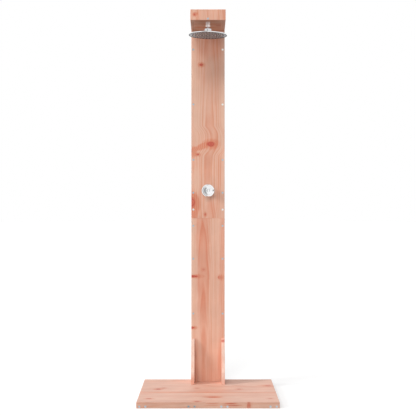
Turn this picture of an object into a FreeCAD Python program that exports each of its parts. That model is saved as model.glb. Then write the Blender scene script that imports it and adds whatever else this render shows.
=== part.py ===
import FreeCAD, Part
import os
import re
import Sketcher

# Outdoor shower post: a slatted softwood deck, a hollow column of boards on its back edge, and a boxed arm
# that carries a round shower head over the deck. Behind the column's front boards a pipe climbs from a hose
# connector, through a quarter-turn valve, along the arm and down to the head's ball joint.
#
# Frame: millimetres, +X to the user's right, +Y away from the user, +Z up. The origin is on the ground under
# the middle of the deck, so the front of the deck faces -Y and the column stands at +Y.

os.makedirs("parts", exist_ok=True)
doc = FreeCAD.newDocument("outdoor_shower_post")
V = FreeCAD.Vector

# ---------------------------------------------------------------- driving dimensions

SIZES = {
    # boards
    "total_tall": 2000,
    "board_thick": 18,
    "arris_radius": 1.5,
    # deck
    "deck_wide": 700,
    "deck_deep": 620,
    "bearer_thick": 18,
    "bearer_wide": 60,
    "bearer_offset": 80,
    "panel_thick": 11,
    "front_panel_deep": 230,
    "panel_gap": 1.5,
    # column
    "column_wide": 182,
    "side_deep": 39,
    "joint_height": 921,
    "batten_thick": 14,
    "batten_tall": 60,
    "splice_tall": 120,
    # gussets at the column's foot
    "gusset_reach": 100,
    "gusset_tall": 234,
    "gusset_nose": 65,
    "gusset_land": 12,
    # arm
    "arm_reach": 300,
    "arm_tall": 55,
    "underside_thick": 15,
    # wood screws
    "shank_radius": 2.5,
    "head_radius": 5.5,
    "point_length": 6,
    "screw_play": 0.1,
    "recess_reach": 3.2,
    "recess_wide": 1.4,
    "recess_deep": 2.2,
    "frame_screw_length": 40,
    "arm_screw_length": 32,
    "short_screw_length": 25,
    "bracket_screw_length": 12,
    "gusset_screw_length": 85,
    "side_screw_inset": 11,
    "screw_below_joint": 42,
    "screw_above_joint": 47,
    "short_pitch": 92,
    "middle_pitch": 180,
    "long_pitch": 300,
    "top_row_drop": 102,
    "rail_screw_spread": 15,
    "deck_screw_inset": 50,
    "gusset_screw_low": 61,
    "gusset_screw_pitch": 105,
    "arm_screw_inset": 40,
    # steel brackets inside the column
    "bracket_thick": 2.5,
    "bracket_wide": 20,
    "bracket_leg": 40,
    "bracket_screw_near": 18,
    "bracket_screw_far": 33,
    "plate_half_length": 35,
    "plate_screw_near": 12,
    "plate_screw_far": 28,
    # pipes and their fittings
    "pipe_radius": 7,
    "pipe_bore": 5,
    "pipe_setback": 25,
    "pipe_play": 0.1,
    "socket_deep": 10,
    "nut_flats": 20,
    "nut_thick": 13,
    "elbow_radius": 9,
    "elbow_reach": 22,
    "clip_radius": 10,
    "clip_tall": 14,
    "clip_mouth": 10,
    "clip_screw_seat": 8.5,
    "hose_tip_height": 150,
    "hose_nipple_radius": 8.5,
    "hose_nipple_long": 22,
    "hose_tip_long": 3.5,
    "hose_groove_wide": 3.5,
    "hose_groove_deep": 1.3,
    "hose_flange_radius": 13,
    "hose_flange_thick": 7,
    "hose_body_radius": 10,
    "hose_body_long": 21,
    # valve
    "valve_height": 1072,
    "barrel_radius": 12,
    "barrel_reach": 32,
    "neck_radius": 13,
    "neck_reach": 14,
    "shoulder_radius": 20,
    "shoulder_thick": 4,
    "thread_play": 0.1,
    "neck_hole_play": 0.3,
    "lock_nut_flats": 36,
    "lock_nut_thick": 5,
    "cartridge_radius": 9,
    "cartridge_deep": 30,
    "cartridge_floor": 4,
    "bonnet_radius": 11,
    "bonnet_thick": 6,
    "seat_bore": 4,
    "spindle_radius": 4,
    "spindle_play": 0.05,
    "spindle_reach": 36,
    "spindle_end_gap": 0.5,
    # cover plate round the valve
    "seal_thick": 1,
    "seal_wide": 4.5,
    "cover_radius": 35.5,
    "cover_deep": 8,
    "cover_rim": 3,
    "cover_shoulder": 5,
    "cover_wall": 1.5,
    "cover_hole_play": 0.3,
    "cover_ring_radius": 16,
    "cover_ring_thick": 3,
    # handle
    "knob_radius": 25.5,
    "knob_gap": 1,
    "knob_long": 38,
    "knob_crown": 1.5,
    "skirt_radius": 19,
    "skirt_deep": 15,
    "handle_screw_radius": 2,
    "handle_screw_head": 3.8,
    "handle_screw_head_thick": 3,
    "handle_screw_bite": 8,
    "handle_web": 4,
    "cap_radius": 8,
    "cap_thick": 3.5,
    "lever_radius": 4.2,
    "lever_root": 20,
    "lever_reach": 33.5,
    "lever_setback": 14,
    # drop from the arm to the ball joint
    "head_setback": 50,
    "drop_radius": 10.3,
    "drop_bore": 7,
    "drop_hole_play": 0.6,
    "drop_bite": 13,
    "drop_barrel_radius": 13.5,
    "drop_leg_reach": 25,
    "drop_lock_radius": 11.8,
    "drop_lock_thick": 11.5,
    "ball_drop": 39,
    "ball_radius": 11.5,
    "ball_neck_radius": 6.5,
    "ball_neck_rise": 12.5,
    "ball_bore": 4,
    "ball_collar_radius": 12,
    "ball_collar_tall": 12,
    "ball_collar_bite": 9,
    "strainer_thick": 1.5,
    # ball joint's cup and rings
    "ball_gap": 0.25,
    "cup_ring_thick": 1.75,
    "seal_low": 52,
    "seal_high": 42,
    "slip_low": 28,
    "slip_high": 14,
    "union_radius": 17.5,
    "union_rise": 8,
    "union_drop": 13,
    "union_lip": 9.9,
    "union_mouth": 11.2,
    "union_bevel": 5,
    "union_thread": 15.6,
    "union_step": 1,
    # shower head
    "shower_roll": 1,
    "shower_radius": 100,
    "shower_hang": 31,
    "rim_tall": 5,
    "rim_wide": 4,
    "dome_drop": 14.5,
    "shell_wall": 2,
    "throat_radius": 5.5,
    "ledge_wide": 8,
    "face_thick": 2,
    "face_play": 0.2,
    "face_seal_thick": 1,
    "nozzle_rings": 5,
    "ring_pitch": 16,
    "nozzles_per_ring": 6,
    "nozzle_radius": 1.9,
    "nozzle_tip_radius": 1.5,
    "nozzle_bore": 0.6,
    "nozzle_flange": 3,
    "nozzle_flange_thick": 0.8,
    "nozzle_proud": 2.5,
}

sheet = doc.addObject("Spreadsheet::Sheet", "Sizes")
for row, (alias, size) in enumerate(SIZES.items(), 1):
    sheet.set(f"A{row}", alias)
    sheet.set(f"B{row}", str(size))
    sheet.setAlias(f"B{row}", alias)
doc.recompute()

# ---------------------------------------------------------------- faces and axes that several pieces share

DECK_TOP = "(bearer_thick + panel_thick)"
DECK_SIDE = "(deck_wide / 2)"
DECK_BACK = "(deck_deep / 2)"
RAIL_FRONT = "(board_thick - deck_deep / 2)"  # back face of the front rail, where bearers and panels begin
RAIL_BACK = "(deck_deep / 2 - board_thick)"  # front face of the back rail, where they end
PANEL_SEAM = f"({RAIL_FRONT} + front_panel_deep)"

COLUMN_SIDE = "(column_wide / 2)"
CHANNEL_SIDE = "(column_wide / 2 - board_thick)"  # inner faces of the column's and the arm's side boards
CHANNEL_BACK = f"({DECK_BACK} - side_deep)"  # back face of the column's front boards
COLUMN_FRONT = f"({CHANNEL_BACK} - board_thick)"
SIDE_MIDDLE = "(column_wide / 2 - board_thick / 2)"

ARM_UNDER = "(total_tall - arm_tall)"
ARM_LID = "(total_tall - board_thick)"  # underside of the arm's top board
ARM_FLOOR = f"({ARM_UNDER} + underside_thick)"  # upper face of the arm's underside board
ARM_FRONT = f"({COLUMN_FRONT} - arm_reach)"
FASCIA_BACK = f"({ARM_FRONT} + board_thick)"

PIPE_Y = f"({CHANNEL_BACK} + pipe_setback)"
ARM_PIPE_Z = f"(({ARM_FLOOR} + {ARM_LID}) / 2)"
HOSE_TOP = "(hose_tip_height + hose_nipple_long + hose_flange_thick + hose_body_long)"
LOWER_PIPE_FOOT = f"({HOSE_TOP} + nut_thick)"
LOWER_PIPE_HEAD = "(valve_height - barrel_reach - nut_thick)"
UPPER_PIPE_FOOT = "(valve_height + barrel_reach + nut_thick)"
UPPER_PIPE_HEAD = f"({ARM_PIPE_Z} - elbow_reach - nut_thick)"

COVER_FRONT = "(seal_thick + cover_deep)"  # measured outwards from the column's front face, as all of the valve is
KNOB_BACK = f"({COVER_FRONT} + knob_gap)"
KNOB_FRONT = f"({KNOB_BACK} + knob_long)"
HUB_BACK = f"({KNOB_BACK} + skirt_deep)"
SCREW_SEAT = "(spindle_reach + handle_web)"
BARREL_DEPTH = "(board_thick + pipe_setback)"  # from the column's front face back to the pipe's axis

HEAD_Y = f"({ARM_FRONT} + head_setback)"
BALL_Z = f"({ARM_UNDER} - ball_drop)"
COLLAR_TOP = "(ball_neck_rise + ball_collar_tall)"  # measured up from the ball's centre, as all of the head is
NIPPLE_FOOT = f"({COLLAR_TOP} - ball_collar_bite + strainer_thick)"
CUP_RADIUS = "(ball_radius + 2 * ball_gap + cup_ring_thick)"
NUT_SPHERE = "(ball_radius + ball_gap)"
FACE_RADIUS = "(shower_radius - rim_wide)"
FACE_TOP = "(face_thick - shower_hang)"
LEDGE = f"({FACE_TOP} + face_seal_thick)"

UP, DOWN = V(0, 0, 1), V(0, 0, -1)
LEFT, RIGHT = V(-1, 0, 0), V(1, 0, 0)
FRONT, BACK = V(0, -1, 0), V(0, 1, 0)


# ---------------------------------------------------------------- helpers

def terms(text):
    """The text with each alias in it written as a cell of the sheet."""
    return re.sub(r"[a-z]+(?:_[a-z]+)+", lambda word: "Sizes." + word.group(), text)


def number(text):
    """What a text of aliases comes to, in millimetres or degrees."""
    return float(sheet.evalExpression(terms(text)))


def bind(thing, **sizes):
    """Ties properties of a document object to texts of aliases."""
    for name, text in sizes.items():
        thing.setExpression(name.replace("__", "."), terms(text))


def facing(direction):
    """The turn that points a piece's own +Z along a direction."""
    return FreeCAD.Rotation(UP, direction)


def place(piece, x="0", y="0", z="0", turn=FreeCAD.Rotation()):
    """Sets a piece down at a point that follows the sheet."""
    piece.Placement = FreeCAD.Placement(V(number(x), number(y), number(z)), turn)
    bind(piece, Placement__Base__x=x, Placement__Base__y=y, Placement__Base__z=z)
    return piece


def spot(x, y, z, turn=FreeCAD.Rotation()):
    """One place in a group of like pieces."""
    return FreeCAD.Placement(V(number(x), number(y), number(z)), turn)


def outline(body, role, corners):
    """A closed outline on one of a body's planes.

    A corner is (across, up), or (across, up, centre) where the side that ends there is an arc about a centre
    on the upright axis.
    """
    sketch = body.newObject("Sketcher::SketchObject", body.Name + "_outline")
    plane = next(feature for feature in body.Origin.OriginFeatures if feature.Role == role)
    sketch.AttachmentSupport = (plane, [""])
    sketch.MapMode = "FlatFace"
    points = [V(number(corner[0]), number(corner[1]), 0) for corner in corners]
    sides = []
    for k, corner in enumerate(corners):
        start, end = points[k - 1], points[k]
        if len(corner) == 3:
            centre = V(0, number(corner[2]), 0)
            middle = (start + end) * 0.5 - centre
            middle = centre + middle.normalize() * end.distanceToPoint(centre)
            side = sketch.addGeometry(Part.Arc(start, middle, end), False)
        else:
            side = sketch.addGeometry(Part.LineSegment(start, end), False)
        forward = sketch.getPoint(side, 2).distanceToPoint(end) < 1e-6
        sides.append((side, 1, 2) if forward else (side, 2, 1))
    for k, corner in enumerate(corners):
        side, _, tail = sides[k]
        following, head, _ = sides[(k + 1) % len(sides)]
        sketch.addConstraint(Sketcher.Constraint("Coincident", side, tail, following, head))
        for axis, kind, text in ((-2, "DistanceX", corner[0]), (-1, "DistanceY", corner[1])):
            if text == "0":
                sketch.addConstraint(Sketcher.Constraint("PointOnObject", side, tail, axis))
            else:
                length = Sketcher.Constraint(kind, -1, 1, side, tail, number(text))
                sketch.setExpression(f"Constraints[{sketch.addConstraint(length)}]", terms(text))
        if len(corner) == 3:
            radius = f"sqrt(({corner[0]})^2 + ({corner[1]} - {corner[2]})^2)"
            bend = sketch.addConstraint(Sketcher.Constraint("Radius", side, number(radius)))
            sketch.setExpression(f"Constraints[{bend}]", terms(radius))
    return sketch


def turned(label, corners):
    """A piece turned about its own Z axis; corners are (radius, height)."""
    body = doc.addObject("PartDesign::Body", label)
    profile = outline(body, "XZ_Plane", corners)
    turning = body.newObject("PartDesign::Revolution", label + "_turning")
    turning.Profile = profile
    turning.ReferenceAxis = (profile, ["V_Axis"])
    turning.Angle = 360
    return body


def rounded(body, radius, *rings):
    """Rounds a turned piece's edges that lie at the given (radius, height) pairs."""
    doc.recompute()
    turning = body.Tip
    wanted = [(number(across), number(up)) for across, up in rings]
    names = []
    for k, edge in enumerate(turning.Shape.Edges, 1):
        if isinstance(edge.Curve, Part.Circle):
            across, up = edge.Curve.Radius, edge.Curve.Center.z
            if any(abs(across - r) < 1e-4 and abs(up - z) < 1e-4 for r, z in wanted):
                names.append(f"Edge{k}")
    fillet = body.newObject("PartDesign::Fillet", body.Name + "_round")
    fillet.Base = (turning, names)
    bind(fillet, Radius=radius)
    return body


def eased(body):
    """Takes the sharpness off every edge of a board."""
    plank = body.Tip
    doc.recompute()
    fillet = body.newObject("PartDesign::Fillet", body.Name + "_arris")
    fillet.Base = (plank, [""])
    fillet.UseAllEdges = True
    bind(fillet, Radius="arris_radius")
    return body


def rod(label, radius, length, x="0", y="0", z="0", along=UP):
    """A plain cylinder from a point along a direction."""
    cylinder = doc.addObject("Part::Cylinder", label)
    bind(cylinder, Radius=radius, Height=length)
    return place(cylinder, x, y, z, facing(along))


def block(label, low, high):
    """A plain block between two opposite corners."""
    box = doc.addObject("Part::Box", label)
    bind(box, **{name: f"({high[k]}) - ({low[k]})" for k, name in enumerate(("Length", "Width", "Height"))})
    return place(box, *low)


def joined(label, *pieces):
    """Solids that are one piece of metal or plastic."""
    whole = doc.addObject("Part::MultiFuse", label)
    whole.Shapes = list(pieces)
    return whole


def cut(label, base, *tools):
    """The base without what the tools take out of it."""
    taken = doc.addObject("Part::Compound", label + "_cuts")
    taken.Links = list(tools)
    left = doc.addObject("Part::Cut", label)
    left.Base = base
    left.Tool = taken
    return left


def group(label, pattern, spots):
    """Like pieces that share one node: a copy of the pattern's shape at each spot."""
    doc.recompute()
    copies = []
    for each in spots:
        copy = pattern.Shape.copy()
        copy.Placement = each.multiply(copy.Placement)
        copies.append(copy)
    node = doc.addObject("Part::Feature", label)
    node.Shape = Part.makeCompound(copies)
    return node


def board(label, low, high, *cuts):
    """A sawn board between two opposite corners, with eased arrises and its holes."""
    body = doc.addObject("PartDesign::Body", label + "_plank")
    plank = body.newObject("PartDesign::AdditiveBox", label + "_sawn")
    bind(plank, **{name: f"({high[k]}) - ({low[k]})" for k, name in enumerate(("Length", "Width", "Height"))})
    place(body, *low)
    return cut(label, eased(body), *cuts)


nodes = {}


def keep(*pieces):
    """Lists sub-parts that are written out, by their labels."""
    for piece in pieces:
        nodes[piece.Label] = piece


# ---------------------------------------------------------------- wood screws and their holes

def screw(label, length, play="0", relief="0"):
    """A countersunk screw that points down from its head's face; with play and relief, the hole for one."""
    head = f"(head_radius + {play})"
    shank = f"(shank_radius + {play})"
    under = f"({shank} - {head})"
    corners = [("0", f"-({length}) - {play}"), (shank, f"point_length - {length}"), (shank, under)]
    if relief == "0":
        corners += [(head, "0"), ("0", "0")]
    else:
        corners += [(head, "0"), (head, relief), ("0", relief)]
    return turned(label, corners)


def crossed(body):
    """Cuts the driver's cross recess into a screw's head."""
    a, b = "recess_reach", "recess_wide / 2"
    arms = [(a, f"-{b}"), (a, b), (b, b), (b, a), (f"-{b}", a), (f"-{b}", b)]
    arms += [(f"-{a}", b), (f"-{a}", f"-{b}"), (f"-{b}", f"-{b}"), (f"-{b}", f"-{a}"), (b, f"-{a}"), (b, f"-{b}")]
    doc.recompute()
    recess = outline(body, "XY_Plane", arms)
    pocket = body.newObject("PartDesign::Pocket", body.Name + "_recess")
    pocket.Profile = recess
    bind(pocket, Length="recess_deep")
    return body


def screws(label, length, spots):
    """A set of like screws as one node, and the holes that they run in."""
    fasteners = group(label, crossed(screw(label + "_one", length)), spots)
    holes = group(label + "_holes", screw(label + "_hole", length, "screw_play", "head_radius / 2"), spots)
    keep(fasteners)
    return holes


BOTH = (("-", LEFT), ("", RIGHT))  # the sign of X and the outward direction on each side

BEARERS = ["-" + DECK_SIDE + " + bearer_wide / 2", "-bearer_offset", "bearer_offset", DECK_SIDE + " - bearer_wide / 2"]

LOWER_CLIPS = [f"({LOWER_PIPE_FOOT} + ({LOWER_PIPE_HEAD} - {LOWER_PIPE_FOOT}) * {k} / 3)" for k in (1, 2)]
UPPER_CLIPS = [f"({UPPER_PIPE_FOOT} + ({UPPER_PIPE_HEAD} - {UPPER_PIPE_FOOT}) * {k} / 4)" for k in (1, 2, 3)]
CLIPS = LOWER_CLIPS + UPPER_CLIPS
BATTENS = [f"(({LOWER_CLIPS[0]} + {LOWER_CLIPS[1]}) / 2)", f"(({UPPER_CLIPS[1]} + {UPPER_CLIPS[2]}) / 2)"]

LOWER_ROWS = ["joint_height - screw_below_joint"]
LOWER_ROWS += [LOWER_ROWS[0] + " - middle_pitch", LOWER_ROWS[0] + " - middle_pitch - long_pitch"]
UPPER_ROWS = ["joint_height + screw_above_joint"]
for pitch in ("short_pitch", "middle_pitch"):
    UPPER_ROWS.append(UPPER_ROWS[-1] + " + " + pitch)
UPPER_ROWS += [f"{ARM_UNDER} - top_row_drop - long_pitch", f"{ARM_UNDER} - top_row_drop"]

column_holes = screws(
    "column_screws",
    "frame_screw_length",
    [
        spot(f"{sign}({COLUMN_SIDE} - side_screw_inset)", COLUMN_FRONT, height, facing(FRONT))
        for sign, _ in BOTH
        for height in LOWER_ROWS + UPPER_ROWS
    ]
    + [
        spot(f"{sign}{COLUMN_SIDE}", f"{CHANNEL_BACK} + batten_thick / 2", height, facing(out))
        for sign, out in BOTH
        for height in BATTENS + ["joint_height"]
    ],
)
rail_holes = screws(
    "rail_screws",
    "frame_screw_length",
    [
        spot(f"{middle} + {step} * rail_screw_spread", face, "bearer_thick / 2", facing(out))
        for face, out in (("-" + DECK_BACK, FRONT), (DECK_BACK, BACK))
        for middle in BEARERS
        for step in ("-1", "1")
    ],
)
short_holes = screws(
    "short_screws",
    "short_screw_length",
    [
        spot(middle, along, "0", facing(DOWN))
        for middle in BEARERS
        for along in (
            f"{RAIL_FRONT} + deck_screw_inset",
            f"{PANEL_SEAM} - deck_screw_inset",
            f"{PANEL_SEAM} + panel_gap + deck_screw_inset",
            f"{RAIL_BACK} - deck_screw_inset",
        )
    ]
    + [spot("0", f"{PIPE_Y} - clip_screw_seat", height, facing(BACK)) for height in CLIPS],
)
gusset_holes = screws(
    "gusset_screws",
    "gusset_screw_length",
    [
        spot(f"{sign}{SIDE_MIDDLE}", DECK_BACK, f"{DECK_TOP} + gusset_screw_low + {step} * gusset_screw_pitch",
             facing(BACK))
        for sign, _ in BOTH
        for step in ("0", "1")
    ],
)
arm_holes = screws(
    "arm_screws",
    "arm_screw_length",
    [spot("0", ARM_FRONT, f"{ARM_UNDER} + underside_thick / 2", facing(FRONT))]
    + [
        spot(f"{sign}{SIDE_MIDDLE}", along, "total_tall", facing(UP))
        for sign, _ in BOTH
        for along in (
            f"{FASCIA_BACK} + arm_screw_inset",
            f"({FASCIA_BACK} + {DECK_BACK}) / 2",
            f"{DECK_BACK} - arm_screw_inset",
        )
    ]
    + [
        spot(f"{sign}{COLUMN_SIDE}", along, f"{ARM_UNDER} + underside_thick / 2", facing(out))
        for sign, out in BOTH
        for along in (f"{FASCIA_BACK} + 1.5 * arm_screw_inset", f"{COLUMN_FRONT} - 1.5 * arm_screw_inset")
    ],
)

BRACKET_Y = f"({CHANNEL_BACK} + bracket_wide / 2)"
PLATE_Y = f"({CHANNEL_BACK} + side_deep / 2)"
bracket_holes = screws(
    "bracket_screws",
    "bracket_screw_length",
    [
        spot(f"{sign}({CHANNEL_SIDE} - bracket_thick)", BRACKET_Y, f"{DECK_TOP} + {up}", facing(out * -1))
        for sign, out in BOTH
        for up in ("bracket_screw_near", "bracket_screw_far")
    ]
    + [
        spot(f"{sign}({CHANNEL_SIDE} - {along})", BRACKET_Y, f"{DECK_TOP} + bracket_thick", facing(UP))
        for sign, _ in BOTH
        for along in ("bracket_screw_near", "bracket_screw_far")
    ]
    + [
        spot(f"{sign}({CHANNEL_SIDE} - bracket_thick)", PLATE_Y, f"{ARM_UNDER} {step}", facing(out * -1))
        for sign, out in BOTH
        for step in ("- plate_screw_far", "- plate_screw_near", "+ plate_screw_near", "+ plate_screw_far")
    ],
)

# ---------------------------------------------------------------- deck

keep(board("deck_front_rail", ("-" + DECK_SIDE, "-" + DECK_BACK, "0"), (DECK_SIDE, RAIL_FRONT, DECK_TOP), rail_holes))
keep(board("deck_back_rail", ("-" + DECK_SIDE, RAIL_BACK, "0"), (DECK_SIDE, DECK_BACK, DECK_TOP), rail_holes))
for count, middle in enumerate(BEARERS, 1):
    low = (f"{middle} - bearer_wide / 2", RAIL_FRONT, "0")
    high = (f"{middle} + bearer_wide / 2", RAIL_BACK, "bearer_thick")
    keep(board(f"deck_bearer_{count}", low, high, rail_holes, short_holes))
keep(
    board(
        "deck_front_panel",
        ("-" + DECK_SIDE, RAIL_FRONT, "bearer_thick"),
        (DECK_SIDE, PANEL_SEAM, DECK_TOP),
        short_holes,
    ),
    board(
        "deck_rear_panel",
        ("-" + DECK_SIDE, f"{PANEL_SEAM} + panel_gap", "bearer_thick"),
        (DECK_SIDE, RAIL_BACK, DECK_TOP),
        short_holes,
        bracket_holes,
    ),
)

# ---------------------------------------------------------------- column

neck_hole = rod("neck_hole", "neck_radius + neck_hole_play", "3 * board_thick", "0",
                f"{COLUMN_FRONT} - board_thick", "valve_height", BACK)
front_low = ("-" + COLUMN_SIDE, COLUMN_FRONT, DECK_TOP)
front_high = (COLUMN_SIDE, CHANNEL_BACK, "joint_height")
keep(board("column_front_lower", front_low, front_high, column_holes, gusset_holes, short_holes))
front_low = ("-" + COLUMN_SIDE, COLUMN_FRONT, "joint_height")
front_high = (COLUMN_SIDE, CHANNEL_BACK, ARM_UNDER)
keep(board("column_front_upper", front_low, front_high, column_holes, short_holes, neck_hole))
for side, inner, outer in (("left", "-" + COLUMN_SIDE, "-" + CHANNEL_SIDE), ("right", CHANNEL_SIDE, COLUMN_SIDE)):
    low = (inner, CHANNEL_BACK, DECK_TOP)
    high = (outer, DECK_BACK, ARM_UNDER)
    keep(board(f"column_side_{side}", low, high, column_holes, gusset_holes, bracket_holes))

BATTEN_BACK = f"{CHANNEL_BACK} + batten_thick"
keep(
    board(
        "splice_batten",
        ("-" + CHANNEL_SIDE, CHANNEL_BACK, "joint_height - splice_tall / 2"),
        (CHANNEL_SIDE, BATTEN_BACK, "joint_height + splice_tall / 2"),
        column_holes,
    )
)
for name, height in zip(("lower_batten", "upper_batten"), BATTENS):
    low = ("-" + CHANNEL_SIDE, CHANNEL_BACK, f"{height} - batten_tall / 2")
    high = (CHANNEL_SIDE, BATTEN_BACK, f"{height} + batten_tall / 2")
    keep(board(name, low, high, column_holes))

for side, x in (("left", "-" + COLUMN_SIDE), ("right", CHANNEL_SIDE)):
    body = doc.addObject("PartDesign::Body", f"gusset_{side}_plank")
    corners = [
        (f"{COLUMN_FRONT} - gusset_reach", DECK_TOP),
        (COLUMN_FRONT, DECK_TOP),
        (COLUMN_FRONT, f"{DECK_TOP} + gusset_tall"),
        (f"{COLUMN_FRONT} - gusset_land", f"{DECK_TOP} + gusset_tall"),
        (f"{COLUMN_FRONT} - gusset_reach", f"{DECK_TOP} + gusset_nose"),
    ]
    plank = outline(body, "YZ_Plane", corners)
    sawn = body.newObject("PartDesign::Pad", f"gusset_{side}_sawn")
    sawn.Profile = plank
    bind(sawn, Length="board_thick")
    place(body, x)
    keep(cut(f"gusset_{side}", eased(body), gusset_holes))

# ---------------------------------------------------------------- arm

drop_hole = rod("drop_hole", "drop_radius + drop_hole_play", "3 * board_thick", "0", HEAD_Y,
                f"{ARM_UNDER} - board_thick", UP)
keep(
    board("arm_fascia", ("-" + COLUMN_SIDE, ARM_FRONT, ARM_UNDER), (COLUMN_SIDE, FASCIA_BACK, "total_tall"), arm_holes),
    board("arm_top_board", ("-" + COLUMN_SIDE, FASCIA_BACK, ARM_LID), (COLUMN_SIDE, DECK_BACK, "total_tall"), arm_holes),
    board(
        "arm_underside_board",
        ("-" + CHANNEL_SIDE, FASCIA_BACK, ARM_UNDER),
        (CHANNEL_SIDE, CHANNEL_BACK, ARM_FLOOR),
        arm_holes,
        drop_hole,
    ),
)
for side, inner, outer in (("left", "-" + COLUMN_SIDE, "-" + CHANNEL_SIDE), ("right", CHANNEL_SIDE, COLUMN_SIDE)):
    keep(board(f"arm_side_{side}", (inner, FASCIA_BACK, ARM_UNDER), (outer, DECK_BACK, ARM_LID), arm_holes, bracket_holes))

# ---------------------------------------------------------------- steel brackets and plates in the column

angle = doc.addObject("PartDesign::Body", "angle_pattern")
angle_corners = [
    ("0", "0"),
    ("0", "bracket_leg"),
    ("-bracket_thick", "bracket_leg"),
    ("-bracket_thick", "bracket_thick"),
    ("-bracket_leg", "bracket_thick"),
    ("-bracket_leg", "0"),
]
angle_profile = outline(angle, "XZ_Plane", angle_corners)
angle_pad = angle.newObject("PartDesign::Pad", "angle_folded")
angle_pad.Profile = angle_profile
angle_pad.Midplane = True
bind(angle_pad, Length="bracket_wide")
angle_spots = [
    spot(f"{sign}{CHANNEL_SIDE}", BRACKET_Y, DECK_TOP, FreeCAD.Rotation(UP, turn))
    for sign, turn in (("-", 180), ("", 0))
]
keep(cut("base_brackets", group("base_brackets_blank", angle, angle_spots), bracket_holes))

plate = block(
    "plate_pattern",
    ("-bracket_thick / 2", "-bracket_wide / 2", "-plate_half_length"),
    ("bracket_thick / 2", "bracket_wide / 2", "plate_half_length"),
)
plate_spots = [spot(f"{sign}({CHANNEL_SIDE} - bracket_thick / 2)", PLATE_Y, ARM_UNDER) for sign, _ in BOTH]
keep(cut("joint_plates", group("joint_plates_blank", plate, plate_spots), bracket_holes))


# ---------------------------------------------------------------- pipes, hose connector, elbows and clips

def tube(label, length):
    """A stretch of pipe up its own Z axis."""
    return turned(label, [("pipe_bore", "0"), ("pipe_radius", "0"), ("pipe_radius", length), ("pipe_bore", length)])


def hexagon(label, flats, thick, bore):
    """A hexagonal nut on its own Z axis, from its seat up."""
    blank = doc.addObject("Part::Prism", label + "_blank")
    blank.Polygon = 6
    bind(blank, Circumradius=f"{flats} / 2 / cos(30 deg)", Height=thick)
    return cut(label, blank, rod(label + "_bore", bore, f"3 * {thick}", z=f"-{thick}"))


hose_bore_top = "hose_nipple_long + hose_flange_thick + hose_body_long"
groove_low, groove_high = "hose_tip_long", "hose_tip_long + hose_groove_wide"
groove_radius = "hose_nipple_radius - hose_groove_deep"
hose_connector = turned(
    "hose_connector",
    [
        ("pipe_bore", "0"),
        (groove_radius, "0"),
        ("hose_nipple_radius", "hose_groove_deep"),
        ("hose_nipple_radius", groove_low),
        (groove_radius, groove_low),
        (groove_radius, groove_high),
        ("hose_nipple_radius", groove_high),
        ("hose_nipple_radius", "hose_nipple_long"),
        ("hose_flange_radius", "hose_nipple_long"),
        ("hose_flange_radius", "hose_nipple_long + hose_flange_thick"),
        ("hose_body_radius", "hose_nipple_long + hose_flange_thick"),
        ("hose_body_radius", hose_bore_top),
        ("pipe_radius + pipe_play", hose_bore_top),
        ("pipe_radius + pipe_play", f"{hose_bore_top} - socket_deep"),
        ("pipe_bore", f"{hose_bore_top} - socket_deep"),
    ],
)
keep(place(hose_connector, "0", PIPE_Y, "hose_tip_height"))

lower_pipe_length = f"valve_height - barrel_reach - {HOSE_TOP} + 2 * socket_deep"
keep(place(tube("riser_pipe_lower", lower_pipe_length), "0", PIPE_Y, f"{HOSE_TOP} - socket_deep"))
upper_pipe_base = "valve_height + barrel_reach - socket_deep"
upper_pipe_length = f"{ARM_PIPE_Z} - elbow_reach + socket_deep - ({upper_pipe_base})"
keep(place(tube("riser_pipe_upper", upper_pipe_length), "0", PIPE_Y, upper_pipe_base))

top_elbow_heel = doc.addObject("Part::Sphere", "top_elbow_heel")
bind(top_elbow_heel, Radius="elbow_radius")
top_elbow_metal = joined(
    "top_elbow_metal",
    rod("top_elbow_leg_down", "elbow_radius", "elbow_reach", "0", PIPE_Y, ARM_PIPE_Z, DOWN),
    rod("top_elbow_leg_front", "elbow_radius", "elbow_reach", "0", PIPE_Y, ARM_PIPE_Z, FRONT),
    place(top_elbow_heel, "0", PIPE_Y, ARM_PIPE_Z),
)
ELBOW_SOCKET = "elbow_reach - socket_deep"
top_elbow_bores = joined(
    "top_elbow_bores",
    rod("top_elbow_bore_down", "pipe_bore", "2 * elbow_reach", "0", PIPE_Y, ARM_PIPE_Z, DOWN),
    rod("top_elbow_bore_front", "pipe_bore", "2 * elbow_reach", "0", PIPE_Y, ARM_PIPE_Z, FRONT),
    rod("top_elbow_socket_down", "pipe_radius + pipe_play", "elbow_reach", "0", PIPE_Y,
        f"{ARM_PIPE_Z} - ({ELBOW_SOCKET})", DOWN),
    rod("top_elbow_socket_front", "pipe_radius + pipe_play", "elbow_reach", "0",
        f"{PIPE_Y} - ({ELBOW_SOCKET})", ARM_PIPE_Z, FRONT),
)
keep(cut("top_elbow", top_elbow_metal, top_elbow_bores))

ARM_PIPE_BACK = f"({PIPE_Y} - elbow_reach + socket_deep)"
ARM_PIPE_FRONT = f"({HEAD_Y} + drop_leg_reach - socket_deep)"
arm_pipe = tube("arm_pipe", f"{ARM_PIPE_BACK} - {ARM_PIPE_FRONT}")
keep(place(arm_pipe, "0", ARM_PIPE_BACK, ARM_PIPE_Z, facing(FRONT)))

union_nut = hexagon("union_nut_pattern", "nut_flats", "nut_thick", "pipe_radius + pipe_play")
union_spots = [
    spot("0", PIPE_Y, HOSE_TOP),
    spot("0", PIPE_Y, LOWER_PIPE_HEAD),
    spot("0", PIPE_Y, "valve_height + barrel_reach"),
    spot("0", PIPE_Y, UPPER_PIPE_HEAD),
    spot("0", f"{PIPE_Y} - elbow_reach", ARM_PIPE_Z, facing(FRONT)),
    spot("0", f"{HEAD_Y} + drop_leg_reach + nut_thick", ARM_PIPE_Z, facing(FRONT)),
]
keep(group("union_nuts", union_nut, union_spots))

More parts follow.
